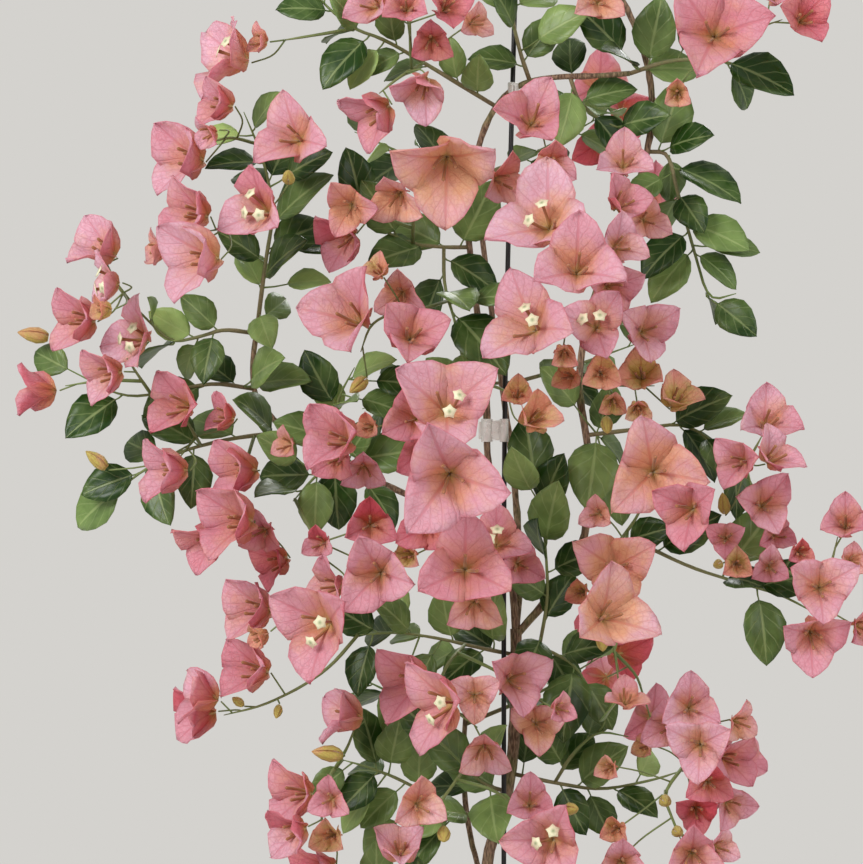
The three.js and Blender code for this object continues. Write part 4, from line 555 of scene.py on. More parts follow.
class Bloom:
    """Three bracts round a short stalk, opening ahead."""

    def __init__(self, row, seed, depth):
        x, z, _, self.span, yaw, pitch, self.kind, roll = row
        self.seed = seed
        turn, lift, roll = math.radians(yaw), math.radians(pitch), math.radians(roll)
        self.ahead = vec(math.sin(turn) * math.cos(lift), -math.cos(turn) * math.cos(lift), math.sin(lift))
        side = unit(np.cross(vec(0, 0, 1), self.ahead))
        up = np.cross(self.ahead, side)
        self.first = up * math.cos(roll) + side * math.sin(roll)
        self.second = np.cross(self.ahead, self.first)
        setback = BUD_SETBACK if self.kind == "b" else BLOOM_SETBACK
        self.base = place(x, depth, z) - self.ahead * setback * self.span
        self.bract_length = self.span * LENGTH_PER_SPAN[self.kind]
        self.tube_length = TUBE_PER_BRACT * self.bract_length + TUBE_LEAST

    def outward(self, turn):
        return self.first * math.cos(turn) + self.second * math.sin(turn)

    def world(self, local):
        return self.base + self.first * local[0] + self.second * local[1] + self.ahead * local[2]

    def bract_local(self, bract, share, across):
        """A point of one bract's face in the bloom's own frame, by share of length and of half width.

        The bract bends outward along its length, and its sides are lifted toward the inside.
        """
        length = self.bract_length
        wave = draw(self.seed, 10 + bract * 2 + (1 if across > 0 else 0)) - 0.5
        bend = math.radians(OPEN_BEND)
        sway = OPEN_SWAY * (draw(self.seed, bract) - 0.5)
        start = math.radians(OPEN_ANGLE[self.kind] - OPEN_BEND / 2 + sway)
        now = start + bend * share
        lift = length * across * across * (CUP + CUP_SWAY * wave) * min(1, 1.6 * share)
        out = length * (math.cos(start) - math.cos(now)) / bend - lift * math.cos(now)
        ahead = length * (math.sin(now) - math.sin(start)) / bend + lift * math.sin(now)
        wide = across * bract_half_width(share) * length
        turn = math.radians(BRACT_TURN * bract)
        cosine, sine = math.cos(turn), math.sin(turn)
        return vec(out * cosine - wide * sine, out * sine + wide * cosine, ahead)

    def samples(self):
        if self.kind == "b":
            return [self.base + self.ahead * self.span * share for share in (0, 0.5, 1)]
        return [self.base.copy()] + [
            self.world(self.bract_local(bract, share, across))
            for bract in range(BRACTS) for share in (0.3, 0.55, 0.8, 1) for across in ACROSS
        ]

    def stand_on(self, routes, order):
        """Gives the bloom its stalk, from the spray's stem to the bloom's back."""
        found = nearest(self.base, routes)
        gap = np.linalg.norm(spot_on(found) - self.base)
        root = root_spot(found, 0.2 * gap + STALK_SPACING * (order % 4))
        reach = np.linalg.norm(root - self.base)
        end = self.base - self.ahead * BACK_STEP
        if reach < SHORT_STALK:
            self.stalk = [root, end]
        else:
            bend = root + (self.base - root) * 0.6 - self.ahead * min(8, 0.25 * reach)
            self.stalk = [root, bend, end]


def bract_half_width(share):
    """Half width of a bract at a share of its length."""
    return BRACT_HALF_WIDTH * max(0.0, math.sin(math.pi * share ** WIDE_SHIFT)) ** 0.6


def place_blooms(room, name, routes, rows, seed):
    blooms = []
    for k, row in enumerate(rows):
        best, most = None, -math.inf
        for shift in BLOOM_DEPTHS:
            bloom = Bloom(row, seed + k, row[2] + shift)
            bloom.stand_on(routes, k)
            stalk_points = along_route(bloom.stalk, CHECK_SPACING)[2:]
            samples = bloom.samples()
            left = min(room.left(name, samples, BLADE_NEED), room.left(name, stalk_points, STEM_NEED))
            if left > most:
                most, best = left, (bloom, samples, stalk_points)
            if left >= 0:
                break
        bloom, samples, stalk_points = best
        room.take(name, samples, BLADE_NEED, True)
        room.take(name, stalk_points, STEM_NEED, False)
        blooms.append(bloom)
    return blooms


class Leaf:
    """A leaf on its stalk, folded along the midrib and broadest near the middle."""

    def __init__(self, foot, along, stalk, length, lean, seed):
        self.foot = foot
        self.along = along
        self.length = length
        self.seed = seed
        self.root = foot + along * stalk
        self.normal = unit(lean - along * np.dot(lean, along))
        self.side = np.cross(self.normal, along)

    def point(self, share, across):
        wide = across * leaf_half_width(share) * self.length
        lift = abs(across) * leaf_half_width(share) * self.length * LEAF_FOLD
        droop = -LEAF_DROOP * self.length * share * share
        return (self.root + self.along * share * self.length + self.side * wide
                + self.normal * (lift + droop))

    def samples(self):
        return [self.point(0, 0), self.point(1, 0)] + [
            self.point(share, across) for share in (0.2, 0.45, 0.72) for across in ACROSS
        ]


def leaf_half_width(share):
    """Half width of a leaf at a share of its length."""
    return LEAF_HALF_WIDTH * max(0.0, math.sin(math.pi * share ** WIDE_SHIFT)) ** 0.75


def marked_leaf(room, name, routes, row, seed):
    """A leaf whose middle is seen at the given place, or None where there is no room for it."""
    x, z, length = row
    start = spot_on(nearest(place(x, routes[0][0][1], z), routes))
    for shift in LEAF_DEPTHS:
        middle = seen_at(x, start[1] + shift, z)
        foot = root_spot(nearest(middle, routes), LEAF_SETBACK * length)
        along = middle - foot
        if np.linalg.norm(along) < 3:
            along = vec(0.4 * (draw(seed, 3) - 0.5), -1, 0.3)
        reach = np.linalg.norm(along)
        blade = length * (1 - LEAF_STALK_SHARE)
        stalk = max(LEAF_STALK_SHARE * length, reach - 0.5 * blade)
        lean = vec(0.9 * (draw(seed, 1) - 0.5), -0.8, 0.5 + 0.7 * (draw(seed, 2) - 0.5))
        leaf = Leaf(foot, along / reach, stalk, blade, lean, seed)
        stalk_points = along_route([foot, leaf.root], CHECK_SPACING)[2:]
        samples = leaf.samples()
        if min(room.left(name, samples, BLADE_NEED), room.left(name, stalk_points, STEM_NEED)) >= 0:
            room.take(name, samples, BLADE_NEED, True)
            room.take(name, stalk_points, STEM_NEED, False)
            return leaf
    return None


def ruled_leaf(room, name, route, order, share, seed):
    """A leaf at its share of the stem, turned by the golden angle from the one before."""
    spot = share * (len(route) - 1)
    low = min(math.floor(spot), len(route) - 2)
    foot = route[low] + (route[low + 1] - route[low]) * (spot - low)
    ahead = unit(route[low + 1] - route[low])
    side = unit(np.cross(ahead, vec(0.1, 0.2, 1)))
    up = np.cross(side, ahead)
    length = RULED_LENGTH + RULED_SPREAD * draw(seed, 4)
    stalk = LEAF_STALK_SHARE * length
    lean = vec(0.6 * (draw(seed, 1) - 0.5), 0.5 if foot[1] > 15 else -0.6, 0.8)
    for turn in range(LEAF_TURNS):
        angle = GOLDEN_TURN * order + LEAF_TURN_STEP * turn
        along = unit(side * math.cos(angle) + up * 0.8 * math.sin(angle) + ahead * 0.5)
        leaf = Leaf(foot, along, stalk, length - stalk, lean, seed)
        samples = leaf.samples()
        if room.left(name, samples, BLADE_NEED) >= 0:
            room.take(name, samples, BLADE_NEED, True)
            return leaf
    return None


def place_leaves(room, name, routes, marked, ruled, seed):
    leaves = [marked_leaf(room, name, routes, row, seed + k) for k, row in enumerate(marked)]
    for k in range(ruled):
        share = RULED_START + (RULED_REACH * (k + 0.5)) / ruled
        leaves.append(ruled_leaf(room, name, routes[k % len(routes)], k, share, seed + RULED_SEED + k))
    return [leaf for leaf in leaves if leaf is not None]


@functools.lru_cache(maxsize=None)
def plan():
    """Every stem, bloom and leaf with its place: stems first, then blooms, then the leaves between."""
    room = Room()
    woody = {}
    for name, radius, row in WOODY_STEMS:
        carrier = None if name == "trunk" else [stem["route"] for stem in woody.values()]
        woody[name] = {"radius": radius, "route": grow([row], carrier)[0]}
        points = along_route(woody[name]["route"], CHECK_SPACING)
        room.take("woody_stems", points, radius + WOOD_ROOM, False)
    stake = [place(*knot) for knot in STAKE_ROUTE]
    room.take("stake", along_route(stake, CHECK_SPACING), STAKE_RADIUS + WOOD_ROOM, False)
    leafy = {}
    for name, parent, rows, _, _ in LEAFY_STEMS:
        leafy[name] = {"routes": grow(rows, [woody[parent]["route"]])}
        for route in leafy[name]["routes"]:
            room.take(name, along_route(route, CHECK_SPACING)[2:], LEAFY_STEM_RADIUS + STEM_ROOM, False)
    sprays = {}
    for name, parent, rows, _ in SPRAYS:
        carrier = [woody[parent]["route"]] if parent in woody else leafy[parent]["routes"]
        sprays[name] = {"routes": grow(rows, carrier)}
        for route in sprays[name]["routes"]:
            room.take(name, along_route(route, CHECK_SPACING)[2:], SPRAY_STEM_RADIUS + STEM_ROOM, False)
    for k, (name, _, _, rows) in enumerate(SPRAYS):
        seed = SEED_STEP * (k + 1)
        sprays[name]["blooms"] = place_blooms(room, name, sprays[name]["routes"], rows, seed)
    for k, (name, _, _, marked, ruled) in enumerate(LEAFY_STEMS):
        routes = leafy[name]["routes"]
        seed = LEAF_SEED + SEED_STEP * k
        leafy[name]["leaves"] = place_leaves(room, name, routes, marked, ruled, seed)
    return {"woody": woody, "stake": stake, "leafy": leafy, "sprays": sprays}


# Adjustable sizes and colours

def srgb(red, green, blue):
    """A colour by its screen values from 0 to 255, as the renderer wants it."""
    def linear(value):
        value /= 255
        return value / 12.92 if value <= 0.04045 else ((value + 0.055) / 1.055) ** 2.4
    return (linear(red), linear(green), linear(blue))


def amount_prop(name, description, default, unit="LENGTH"):
    return bpy.props.FloatProperty(name=name, description=description, default=default, min=0.0, unit=unit)


def count_prop(name, description, default):
    return bpy.props.IntProperty(name=name, description=description, default=default, min=3)


def colour_prop(name, description, default):
    return bpy.props.FloatVectorProperty(
        name=name, description=description, default=srgb(*default), min=0.0, max=1.0, subtype="COLOR")


class FoliageSizes(bpy.types.PropertyGroup):
    bract_thickness: amount_prop("Bract thickness", "Thickness of a bract", 0.0004)
    leaf_thickness: amount_prop("Leaf thickness", "Thickness of a leaf blade", 0.0006)
    stalk_radius: amount_prop("Stalk radius", "Radius of a bloom's stalk", 0.00055)
    petiole_radius: amount_prop("Leaf stalk radius", "Radius of a leaf's stalk", 0.0006)
    star_radius: amount_prop("Flower radius", "Radius of the star of a true flower", 0.0047)
    bract_cells: count_prop("Bract cells", "Cells along a bract", 8)
    leaf_cells: count_prop("Leaf cells", "Cells along a leaf", 7)


class PlantColours(bpy.types.PropertyGroup):
    bract_deep: colour_prop("Bract, deep", "Deepest pink of the open bracts", (220, 102, 116))
    bract_pale: colour_prop("Bract, pale", "Palest pink of the open bracts", (244, 212, 228))
    # Deep salmon toward the bracts' foot: partly their own colour, partly painted shade in the throat of
    # the bloom
    bract_salmon_and_throat_shade: colour_prop("Bract, salmon", "Deep salmon toward the foot of the bracts", (212, 106, 74))
    bract_young: colour_prop("Bract, young", "Light salmon of the young bracts", (242, 190, 148))
    bract_heart: colour_prop("Bract, foot", "Colour at a bract's foot", (216, 202, 112))
    tube: colour_prop("Flower tube", "Colour of the flower tubes", (138, 100, 46))
    star: colour_prop("Flower star", "Colour of the true flowers", (246, 243, 208))
    leaf_dark: colour_prop("Leaf, dark", "Colour of an old leaf", (27, 58, 5))
    leaf_light: colour_prop("Leaf, light", "Colour of a young leaf", (162, 190, 112))
    leaf_vein: colour_prop("Leaf, veins", "Colour of a leaf's veins", (196, 212, 146))
    green_stem: colour_prop("Stem, green", "Colour of the young stems", (104, 128, 66))
    bark_light: colour_prop("Bark, light", "Light colour of the bark", (150, 122, 98))
    bark_dark: colour_prop("Bark, dark", "Dark colour of the bark", (84, 60, 46))


class PotColours(bpy.types.PropertyGroup):
    clay: colour_prop("Clay", "Colour of the fired clay", (176, 104, 74))
    clay_pale: colour_prop("Clay, weathered", "Colour of the weathered clay", (202, 150, 122))
    soil: colour_prop("Soil", "Colour of the potting soil", (58, 42, 32))
    soil_wet: colour_prop("Soil, damp", "Colour of the soil's dark crumbs", (26, 19, 15))
    chip: colour_prop("Bark chip", "Colour of the chips in the soil", (112, 80, 56))
    perlite: colour_prop("Perlite", "Colour of the perlite in the soil", (226, 222, 212))
    steel: colour_prop("Stake", "Colour of the coated stake", (26, 26, 28))
    scuff: colour_prop("Stake, scuffs", "Colour of the scuffs on the stake", (96, 94, 92))
    clip: colour_prop("Clip", "Colour of the clear clips", (246, 246, 242))


class StageSettings(bpy.types.PropertyGroup):
    floor: colour_prop("Floor", "Colour of the plain floor", (216, 214, 210))
    floor_shade: colour_prop("Floor, shade", "Colour of the floor's faint clouds", (190, 188, 184))
    backdrop: colour_prop("Surround", "Colour of the light all round", (212, 210, 206))
    key_power: amount_prop("Main light", "Power of the main light", 50.0, "POWER")
    fill_power: amount_prop("Fill light", "Power of the light on the other side", 14.0, "POWER")
    rear_power: amount_prop("Rear light", "Power of the light behind the plant", 22.0, "POWER")
    lens: bpy.props.FloatProperty(
        name="Lens", description="Focal length of the camera", default=109.0, min=1.0, unit="CAMERA")


def plant_colours():
    return bpy.context.scene.plant_colours


def pot_colours():
    return bpy.context.scene.pot_colours


# Finishes

class Finish:
    """A material in the making: it adds nodes and joins them."""

    def __init__(self, name):
        self.material = bpy.data.materials.new(name)
        self.material.use_nodes = True
        self.tree = self.material.node_tree
        self.tree.nodes.clear()
        self.shader = self.node("ShaderNodeBsdfPrincipled")
        self.output = self.node("ShaderNodeOutputMaterial")
        self.join(self.shader.outputs["BSDF"], self.output.inputs["Surface"])

    def node(self, kind, **settings):
        made = self.tree.nodes.new(kind)
        for key, value in settings.items():
            setattr(made, key, value)
        return made

    def join(self, source, target):
        self.tree.links.new(source, target)

    def feed(self, socket, value):
        """Joins a socket to another, or sets it to a plain value or a colour."""
        if isinstance(value, bpy.types.NodeSocket):
            self.join(value, socket)
        elif isinstance(value, Color):
            socket.default_value = (*value, 1.0)
        else:
            socket.default_value = value

    def set(self, **values):
        """Sets the shader's own sockets, with underscores for the spaces of their names."""
        for key, value in values.items():
            self.feed(self.shader.inputs[key.replace("_", " ")], value)

    def math(self, operation, first, second=0.0, clamp=False):
        made = self.node("ShaderNodeMath", operation=operation, use_clamp=clamp)
        self.feed(made.inputs[0], first)
        self.feed(made.inputs[1], second)
        return made.outputs[0]

    def plus(self, first, second, clamp=False):
        return self.math("ADD", first, second, clamp)

    def minus(self, first, second, clamp=False):
        return self.math("SUBTRACT", first, second, clamp)

    def times(self, first, second):
        return self.math("MULTIPLY", first, second)

    def most(self, first, second):
        return self.math("MAXIMUM", first, second)

    def swing(self, value, strength):
        """How far a value from 0 to 1 stands off its middle, at the given strength."""
        return self.times(self.minus(value, 0.5), strength)

    def blend(self, factor, first, second, kind="MIX"):
        made = self.node("ShaderNodeMix", data_type="RGBA", blend_type=kind)
        self.feed(made.inputs[0], factor)
        self.feed(made.inputs[6], first)
        self.feed(made.inputs[7], second)
        return made.outputs[2]

    def ease(self, value, low, high, to_low=0.0, to_high=1.0):
        """Carries a value smoothly from one range to another."""
        made = self.node("ShaderNodeMapRange", interpolation_type="SMOOTHSTEP")
        self.feed(made.inputs[0], value)
        for k, bound in enumerate((low, high, to_low, to_high)):
            made.inputs[k + 1].default_value = bound
        return made.outputs[0]

    def attribute(self, name):
        return self.node("ShaderNodeAttribute", attribute_name=name).outputs["Fac"]

    def object_place(self):
        return self.node("ShaderNodeTexCoord").outputs["Object"]

    def pattern(self, kind, place=None, settings=(), **inputs):
        """A pattern in space: a texture node on the object's own coordinates."""
        made = self.node(kind, **dict(settings))
        self.join(self.object_place() if place is None else place, made.inputs["Vector"])
        for key, value in inputs.items():
            made.inputs[key].default_value = value
        return made

    def cloud(self, scale, detail=3.0, roughness=0.5, place=None):
        return self.pattern(
            "ShaderNodeTexNoise", place, Scale=scale, Detail=detail, Roughness=roughness).outputs["Fac"]

    def net(self, scale):
        """Distance to the nearest line of an irregular net."""
        settings = {"feature": "DISTANCE_TO_EDGE"}
        return self.pattern("ShaderNodeTexVoronoi", None, settings, Scale=scale).outputs["Distance"]

    def rings(self, scale, distortion):
        """Level bands, one above the other."""
        settings = {"wave_type": "BANDS", "bands_direction": "Z"}
        made = self.pattern("ShaderNodeTexWave", None, settings, Scale=scale, Distortion=distortion)
        return made.outputs["Fac"]

    def blade_place(self):
        """Place on a blade: how far across it, 0 at the midrib and 1 at the rim, and how far along."""
        split = self.node("ShaderNodeSeparateXYZ")
        self.join(self.node("ShaderNodeUVMap", uv_map="blade").outputs[0], split.inputs[0])
        centred = self.minus(split.outputs[0], 0.5)
        return self.times(self.math("ABSOLUTE", centred), 2.0), split.outputs[1]

    def side_veins(self, across, along, pairs, slant, width):
        """Veins that leave the midrib in pairs and bend toward the tip: 1 on a vein."""
        turned = self.minus(along, self.times(self.math("POWER", across, 0.8), slant))
        beat = self.math("FRACT", self.times(turned, float(pairs)))
        off = self.math("ABSOLUTE", self.minus(beat, 0.5))
        return self.ease(off, 0.0, width, 1.0, 0.0)

    def relief(self, height, strength, distance):
        made = self.node("ShaderNodeBump")
        made.inputs["Strength"].default_value = strength
        made.inputs["Distance"].default_value = distance
        self.join(height, made.inputs["Height"])
        self.join(made.outputs[0], self.shader.inputs["Normal"])
        return made.outputs[0]

    def let_light_through(self, colour, share, normal):
        """Mixes in light that comes through a thin blade."""
        through = self.node("ShaderNodeBsdfTranslucent")
        self.feed(through.inputs["Color"], colour)
        self.join(normal, through.inputs["Normal"])
        both = self.node("ShaderNodeMixShader")
        both.inputs[0].default_value = share
        self.join(self.shader.outputs[0], both.inputs[1])
        self.join(through.outputs[0], both.inputs[2])
        self.join(both.outputs[0], self.output.inputs["Surface"])


@functools.lru_cache(maxsize=None)
def bract_finish():
    """Papery pink, salmon toward its yellow-green foot and netted with veins; orange while it is young. The
    deep salmon at the foot is partly the bract's own colour and partly painted shade of the throat, and the
    tone it reads carries painted shade on each bract's outside.
    """
    made = Finish("bract_paper")
    looks = plant_colours()
    across, along = made.blade_place()
    age = made.attribute("age")
    cloud = made.cloud(55.0, 4.0, 0.6)
    # The tone holds each bloom's paleness and the painted shade on a bract's outward face
    shade = made.plus(made.attribute("tone"), made.swing(cloud, 0.7), clamp=True)
    rose = made.blend(shade, looks.bract_deep, looks.bract_pale)
    salmon = made.blend(shade, looks.bract_salmon_and_throat_shade, looks.bract_young)
    # How far toward the deep salmon of the foot: partly the bract's own salmon, partly painted shade in the
    # throat
    foot_salmon_and_shade = made.plus(made.ease(along, 0.04, 0.72, 1.3, 0.0), made.ease(age, 0.55, 0.98, 0.42, -0.04))
    foot_salmon_and_shade = made.plus(foot_salmon_and_shade, made.swing(cloud, 2.4), clamp=True)
    ripe = made.blend(made.times(foot_salmon_and_shade, 0.9), rose, salmon)
    green = made.plus(made.ease(cloud, 0.4, 0.6, 0.0, 0.9), made.ease(age, 0.14, 0.3, 0.9, 0.0), clamp=True)
    young = made.blend(green, looks.bract_young, looks.bract_heart)
    blush = made.times(made.ease(along, 0.3, 1.0, 0.0, 0.6), made.ease(age, 0.22, 0.32))
    young = made.blend(blush, young, rose)
    body = made.blend(made.ease(age, 0.25, 0.7), young, ripe)
    foot = made.times(made.ease(along, 0.0, 0.34, 0.8, 0.0), made.ease(across, 0.2, 0.8, 1.0, 0.3))
    body = made.blend(foot, body, looks.bract_heart)
    midrib = made.ease(across, 0.02, 0.09, 1.0, 0.0)
    sides = made.side_veins(across, along, pairs=7, slant=0.34, width=0.13)
    fine = made.ease(made.net(330.0), 0.0, 0.08, 1.0, 0.0)
    veins = made.most(made.most(made.times(sides, 0.6), midrib), made.times(fine, 0.5))
    marked = made.blend(made.times(veins, 0.34), body, looks.bract_deep, "MULTIPLY")
    rim = made.ease(across, 0.86, 1.0, 0.0, 0.35)
    marked = made.blend(rim, marked, looks.bract_deep)
    made.set(Base_Color=marked, Roughness=0.55, Sheen_Weight=0.12, Sheen_Roughness=0.4,
             Specular_IOR_Level=0.3)
    crinkle = made.plus(made.cloud(230.0, 3.0, 0.6), made.times(cloud, 0.5))
    normal = made.relief(made.minus(crinkle, veins), strength=0.5, distance=0.0009)
    made.let_light_through(made.blend(0.15, marked, looks.bract_pale), 0.44, normal)
    return made.material


@functools.lru_cache(maxsize=None)
def leaf_finish():
    """Glossy dark green with a pale midrib and faint side veins."""
    made = Finish("leaf_green")
    looks = plant_colours()
    across, along = made.blade_place()
    shade = made.plus(made.attribute("tone"), made.swing(made.cloud(45.0, 4.0, 0.55), 1.0), clamp=True)
    body = made.blend(shade, looks.leaf_dark, looks.leaf_light)
    midrib = made.ease(across, 0.03, 0.1, 1.0, 0.0)
    sides = made.side_veins(across, along, pairs=6, slant=0.3, width=0.1)
    veins = made.most(made.times(sides, 0.5), midrib)
    marked = made.blend(made.times(veins, 0.28), body, looks.leaf_vein)
    gloss = made.plus(0.26, made.times(made.cloud(140.0), 0.2))
    made.set(Base_Color=marked, Roughness=gloss, Specular_IOR_Level=0.34)
    bumps = made.minus(made.times(made.cloud(260.0), 0.4), veins)
    normal = made.relief(bumps, strength=0.35, distance=0.0007)
    made.let_light_through(made.blend(0.5, marked, looks.leaf_light), 0.14, normal)
    return made.material


@functools.lru_cache(maxsize=None)
def stem_finish():
    """Brown bark on old stems, turning green toward their tips."""
    made = Finish("stem_skin")
    looks = plant_colours()
    streak = made.cloud(700.0, 2.0)
    brown = made.blend(streak, looks.bark_dark, looks.bark_light)
    aged = made.plus(made.attribute("age"), made.swing(made.cloud(150.0, 4.0, 0.6), 0.5))
    aged = made.minus(aged, made.times(made.attribute("tone"), 0.7), clamp=True)
    made.set(Base_Color=made.blend(aged, looks.green_stem, brown), Roughness=0.62)
    made.relief(streak, strength=0.35, distance=0.0004)
    return made.material


@functools.lru_cache(maxsize=None)
def bark_finish():
    """Grey-brown bark with long cracks and paler ridges."""
    made = Finish("bark")
    looks = plant_colours()
    stretched = made.node("ShaderNodeMapping")
    stretched.inputs["Scale"].default_value = (1.0, 1.0, 0.22)
    made.join(made.object_place(), stretched.inputs[0])
    ridge = made.ease(made.cloud(900.0, 5.0, place=stretched.outputs[0]), 0.35, 0.65)
    body = made.blend(ridge, looks.bark_dark, looks.bark_light)
    patch = made.ease(made.cloud(60.0, 3.0), 0.45, 0.7)
    body = made.blend(made.times(patch, 0.35), body, looks.green_stem)
    made.set(Base_Color=body, Roughness=0.78)
    made.relief(ridge, strength=0.6, distance=0.0006)
    return made.material


@functools.lru_cache(maxsize=None)
def tube_finish():
    """Flower tubes: brown-pink, greener toward the foot, finely downy."""
    made = Finish("flower_tube")
    looks = plant_colours()
    down = made.cloud(380.0, 3.0)
    body = made.blend(made.ease(made.attribute("tone"), -0.3, 0.6), looks.bract_heart, looks.tube)
    body = made.blend(made.times(down, 0.3), body, looks.bract_deep)
    made.set(Base_Color=body, Roughness=0.6, Sheen_Weight=0.25, Sheen_Roughness=0.5)
    made.relief(down, strength=0.3, distance=0.0003)
    return made.material


@functools.lru_cache(maxsize=None)
def star_finish():
    """The star of a true flower: cream, with a green heart."""
    made = Finish("flower_star")
    looks = plant_colours()
    heart = made.ease(made.attribute("tone"), 0.05, 0.6, 0.8, 0.0)
    body = made.blend(heart, looks.star, looks.green_stem)
    made.set(Base_Color=body, Roughness=0.5)
    normal = made.relief(made.cloud(900.0), strength=0.2, distance=0.0002)
    made.let_light_through(body, 0.2, normal)
    return made.material


@functools.lru_cache(maxsize=None)
def clay_finish():
    """Fired clay, with wheel marks round it and a pale bloom of lime."""
    made = Finish("fired_clay")
    looks = pot_colours()
    speck = made.cloud(900.0, 3.0)
    lime = made.ease(made.cloud(14.0, 6.0, 0.65), 0.45, 0.72)
    body = made.blend(made.times(lime, 0.7), looks.clay, looks.clay_pale)
    body = made.blend(made.times(speck, 0.25), body, looks.clay, "MULTIPLY")
    made.set(Base_Color=body, Roughness=0.86)
    wheel_marks = made.rings(120.0, 1.5)
    made.relief(made.plus(made.times(wheel_marks, 0.35), speck), strength=0.3, distance=0.0008)
    return made.material


@functools.lru_cache(maxsize=None)
def soil_finish():
    """Dark crumbly soil, with paler chips and white perlite by the grain's own tone."""
    made = Finish("potting_soil")
    looks = pot_colours()
    tone = made.attribute("tone")
    crumb = made.cloud(420.0, 5.0, 0.7)
    body = made.blend(crumb, looks.soil_wet, looks.soil)
    body = made.blend(made.ease(tone, 0.05, 0.6), body, looks.chip)
    body = made.blend(made.ease(tone, 0.8, 0.95), body, looks.perlite)
    made.set(Base_Color=body, Roughness=0.92)
    made.relief(crumb, strength=0.8, distance=0.0015)
    return made.material


@functools.lru_cache(maxsize=None)
def steel_finish():
    """Black coated steel with a soft sheen and small scuffs."""
    made = Finish("coated_steel")
    looks = pot_colours()
    scuff = made.ease(made.cloud(320.0, 5.0, 0.7), 0.6, 0.75)
    body = made.blend(made.times(scuff, 0.25), looks.steel, looks.scuff)
    made.set(Base_Color=body, Metallic=0.3, Roughness=made.plus(0.34, made.times(scuff, 0.2)))
    made.relief(made.cloud(800.0), strength=0.1, distance=0.0002)
    return made.material


@functools.lru_cache(maxsize=None)
def clip_finish():
    """Milky clear plastic, a little uneven."""
    made = Finish("clear_plastic")
    haze = made.cloud(260.0, 3.0)
    made.set(Base_Color=pot_colours().clip, Roughness=made.plus(0.1, made.times(haze, 0.3)),
             Transmission_Weight=0.25, IOR=1.46)
    made.relief(haze, strength=0.5, distance=0.0012)
    return made.material


@functools.lru_cache(maxsize=None)
def floor_finish():
    """A plain matt floor with the faintest clouds."""
    made = Finish("plain_floor")
    looks = bpy.context.scene.stage_settings
    faint = made.times(made.cloud(8.0, 2.0), 0.1)
    made.set(Base_Color=made.blend(faint, looks.floor, looks.floor_shade), Roughness=0.9)
    return made.material


# Making pieces

STEM_SLOT, BLADE_SLOT, TUBE_SLOT, STAR_SLOT = range(4)
JOIN_REACH = 0.00001
STEM_SIDES = {"stalk": 5, "tube": 6, "spray": 7, "leafy": 8, "wood": 12, "stake": 20}
BLADE_CELLS_ACROSS = 4
BUD_CELLS = 5
END_GATHER = 0.085
NOISE_SEED = 7


def metres(point):
    return Vector((float(point[0]), float(point[1]), float(point[2]))) * MM


def held(value):
    """The value, held between 0 and 1."""
    return min(1.0, max(0.0, value))


def soften(route, rounds=2, share=0.22):
    """Rounds the corners of a route, which keeps the middles of its stretches where they are."""
    points = [np.array(point, dtype=float) for point in route]
    for _ in range(rounds):
        rounded = [points[0]]
        for before, corner, after in zip(points, points[1:], points[2:]):
            rounded += [corner + (before - corner) * share, corner + (after - corner) * share]
        points = rounded + [points[-1]]
    return points


def turn_toward(way):
    """The turn that carries straight up to the given way."""
    return Vector((0, 0, 1)).rotation_difference(Vector(way))


def faces_of(verts):
    return list({face for vertex in verts for face in vertex.link_faces})


def edges_of(verts):
    return list({edge for vertex in verts for edge in vertex.link_edges})


def round_edges(mesh, edges, reach, steps, least_angle=0.0):
    """Bevels those of the edges that turn by more than an angle in degrees."""
    sharp = [edge for edge in edges
             if len(edge.link_faces) == 2 and edge.calc_face_angle() > math.radians(least_angle)]
    bmesh.ops.bevel(mesh, geom=sharp, offset=reach, offset_type="OFFSET", segments=steps, profile=0.5,
                    affect="EDGES", material=-1)


def newer(mesh, older):
    """The vertices that were added since the older ones."""
    return [vertex for vertex in mesh.verts if vertex not in older]


def spin_round(mesh, profile, steps, closed=False):
    """Turns a profile of [radius, height] pairs, given in millimetres, once round."""
    older = set(mesh.verts)
    verts = [mesh.verts.new((radius * MM, 0, height * MM)) for radius, height in profile]
    following = verts[1:] + verts[:1] if closed else verts[1:]
    edges = [mesh.edges.new(pair) for pair in zip(verts, following)]
    bmesh.ops.spin(mesh, geom=verts + edges, cent=(0, 0, 0), axis=(0, 0, 1), angle=2 * math.pi, steps=steps,
                   use_merge=True)
    bmesh.ops.remove_doubles(mesh, verts=newer(mesh, older), dist=JOIN_REACH)


def roughen(verts, scale, reach, hold=None):
    """Moves each vertex by an even, seeded noise of the given size, less where it is held."""
    noise.seed_set(NOISE_SEED)
    for vertex in verts:
        drift = noise.noise_vector(vertex.co * scale) * reach
        vertex.co += drift * (hold(vertex.co) if hold else 1.0)


def even_radii(points, start, end):
    count = len(points) - 1
    return [start + (end - start) * k / count for k in range(count + 1)]


